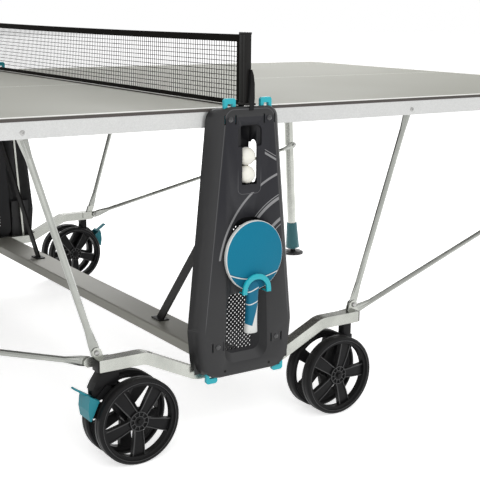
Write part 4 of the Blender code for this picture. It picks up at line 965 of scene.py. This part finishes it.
plugLook = {"corners": ((0.3541, 0.7372, 0.2148), (0.3575, 0.7668, 0.2406)), "edge": 0.0008}


def boltProfile(radius, height, socket):
    # domed head, with a round socket where one is asked for
    head = [(radius, 0.0), (radius, height * 0.45), (radius * 0.86, height * 0.8), (radius * 0.55, height)]
    if socket:
        return head + [(socket, height), (socket * 0.98, height * 0.35), (0.0, height * 0.3)]
    return head + [(0.0, height * 1.02)]


def makeBolts(bolts, side, end):
    for name, (body, (x, y, z), way, *sizes, material, slot) in bolts.items():
        bm = bmesh.new()
        place = (ends[end] * x, sides[side] * y, z)
        spin(bm, boltProfile(*sizes), 18, facing(place, (0, way * sides[side], 0)))
        bolt = newObject(f"{name}_{side}_{end}", bm, material)
        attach(bolt, body.format(end=end))


def makeTubePlug(side, end):
    # plug in the end of a side tube
    bm = bmesh.new()
    block(bm, *((ends[end] * x, sides[side] * y, z) for x, y, z in plugLook["corners"]))
    softenEdges(bm, plugLook["edge"])
    cap = newObject(f"tubePlug_{side}_{end}", bm, blackSteel)
    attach(cap, "chassis")


for side in sides:
    for end in ends:
        makeBolts(frameBolts, side, end)
        makeTubePlug(side, end)
    for end in ends:
        makeBolts(panelBolts, side, end)
print("bolts and plugs made")

footLook = {
    "colour": (0.016, 0.13, 0.15), "drift": 0.08, "roughness": 0.4, "grain": (700, 18),
    "bump": (0.15, 0.0004), "padTop": 0.0185, "padColour": (0.01, 0.01, 0.011),
}


def footColour(tree, base):
    # the pad under the shoe is black
    under = band(coordinates(tree)["Z"], -1.0, footLook["padTop"], 0.0004)
    return blendColour(under, base, footLook["padColour"])


# finishes of the frame's own pieces, by how their names start
finishOf = {
    "table_top": topMaterial, "surround": apronMaterial, "side_frame": tubeMaterial, "arm": strutMaterial,
    "link": strutMaterial, "leg_frame": tubeMaterial, "leg_foot": finish("tealPlastic", footLook, footColour),
    "crossbeam": beamMaterial, "brace": blackSteel, "net_post": blackSteel, "guide_shoe": blackSteel,
    "caster_fork": wheelMaterial, "brake_pedal": pedalPlastic, "latch": turquoise, "bat_clip": turquoise,
}
for name, obj in nodes.items():
    for start, material in finishOf.items():
        if name.startswith(start):
            setMaterial(obj, material)
print("finishes set")

studioLook = {
    "floorColour": (0.96, 0.96, 0.96), "floorRoughness": 0.9, "floorHalf": 30.0, "floorLevel": -0.0004,
    "floorGlow": 0.6, "skyForObject": 0.62,
    # soft boxes: place, target, size, power, and whether reflections show them
    "lights": {
        "keyLight": ((-1.7, -3.9, 3.0), (0.0, -0.6, 0.4), (2.8, 2.4), 70, False),
        "backLight": ((3.0, 4.2, 3.2), (0.3, 0.0, 0.6), (3.0, 2.0), 95, True),
        "sideLight": ((3.4, 0.6, 2.3), (1.0, 0.0, 0.76), (1.6, 1.6), 45, False),
    },
}


def seenDirectly(tree):
    # 1 for the camera, for reflections and for what shows through a clear piece
    path = addNode(tree, "ShaderNodeLightPath")
    return largest(*(path.outputs[f"Is {kind} Ray"] for kind in ("Camera", "Glossy", "Transmission")))


def softBox(name, place, target, size, power, glossy):
    light = bpy.data.lights.new(name, "AREA")
    light.shape = "RECTANGLE"
    light.size, light.size_y = size
    light.energy = power
    obj = addObject(name, light)
    obj.location = place
    obj.rotation_euler = (Vector(target) - Vector(place)).to_track_quat("-Z", "Y").to_euler()
    obj.visible_glossy = glossy


def makeStudio():
    look = studioLook
    scene = bpy.context.scene
    bm = bmesh.new()
    size = look["floorHalf"]
    bm.faces.new([bm.verts.new((x, y, look["floorLevel"])) for x, y in rectangle(-size, size, -size, size)])
    material, tree, shader = baseMaterial("paleFloor")
    # the shaded floor plus enough glow to read as white
    glow = times(seenDirectly(tree), look["floorGlow"])
    for key, source in (("Base Color", look["floorColour"]), ("Roughness", look["floorRoughness"]),
                        ("Specular IOR Level", 0.0), ("Emission Color", (1, 1, 1)),
                        ("Emission Strength", glow)):
        plug(source, shader, key)
    newObject("studioFloor", bm, material)

    # white sky behind the object, dimmer where it only lights it
    world = bpy.data.worlds.new("studioSky")
    scene.world = world
    world.use_nodes = True
    tree = world.node_tree
    background = tree.nodes["Background"]
    level = addNode(tree, "ShaderNodeMapRange", inputs={"To Min": look["skyForObject"], "To Max": 1.0})
    plug(seenDirectly(tree), level, "Value")
    plug((1, 1, 1), background, "Color")
    plug(level.outputs[0], background, "Strength")

    for name, settings in look["lights"].items():
        softBox(name, *settings)
    scene.view_settings.view_transform = "Standard"


makeStudio()
print("studio made")

# angles in degrees, lens and sensor in millimetres
cameraLook = {
    "place": (-1.2764, -2.6742, 0.9725), "yaw": 33.761, "pitch": 12.532, "roll": 0.571,
    "lens": 78.56, "sensor": 36,
}


def makeCamera():
    yaw, pitch, roll = (math.radians(cameraLook[key]) for key in ("yaw", "pitch", "roll"))
    ahead = Vector((math.sin(yaw) * math.cos(pitch), math.cos(yaw) * math.cos(pitch), -math.sin(pitch)))
    right = Vector((math.cos(yaw), -math.sin(yaw), 0))
    up = right.cross(ahead)
    sideways = math.cos(roll) * right + math.sin(roll) * up
    upright = -math.sin(roll) * right + math.cos(roll) * up
    camera = bpy.data.cameras.new("photoCamera")
    camera.lens = cameraLook["lens"]
    camera.sensor_width = cameraLook["sensor"]
    obj = addObject("photoCamera", camera)
    turn = Matrix((sideways, upright, -ahead)).transposed().to_4x4()
    turn.translation = cameraLook["place"]
    obj.matrix_world = turn
    bpy.context.scene.camera = obj


makeCamera()
print("camera set")
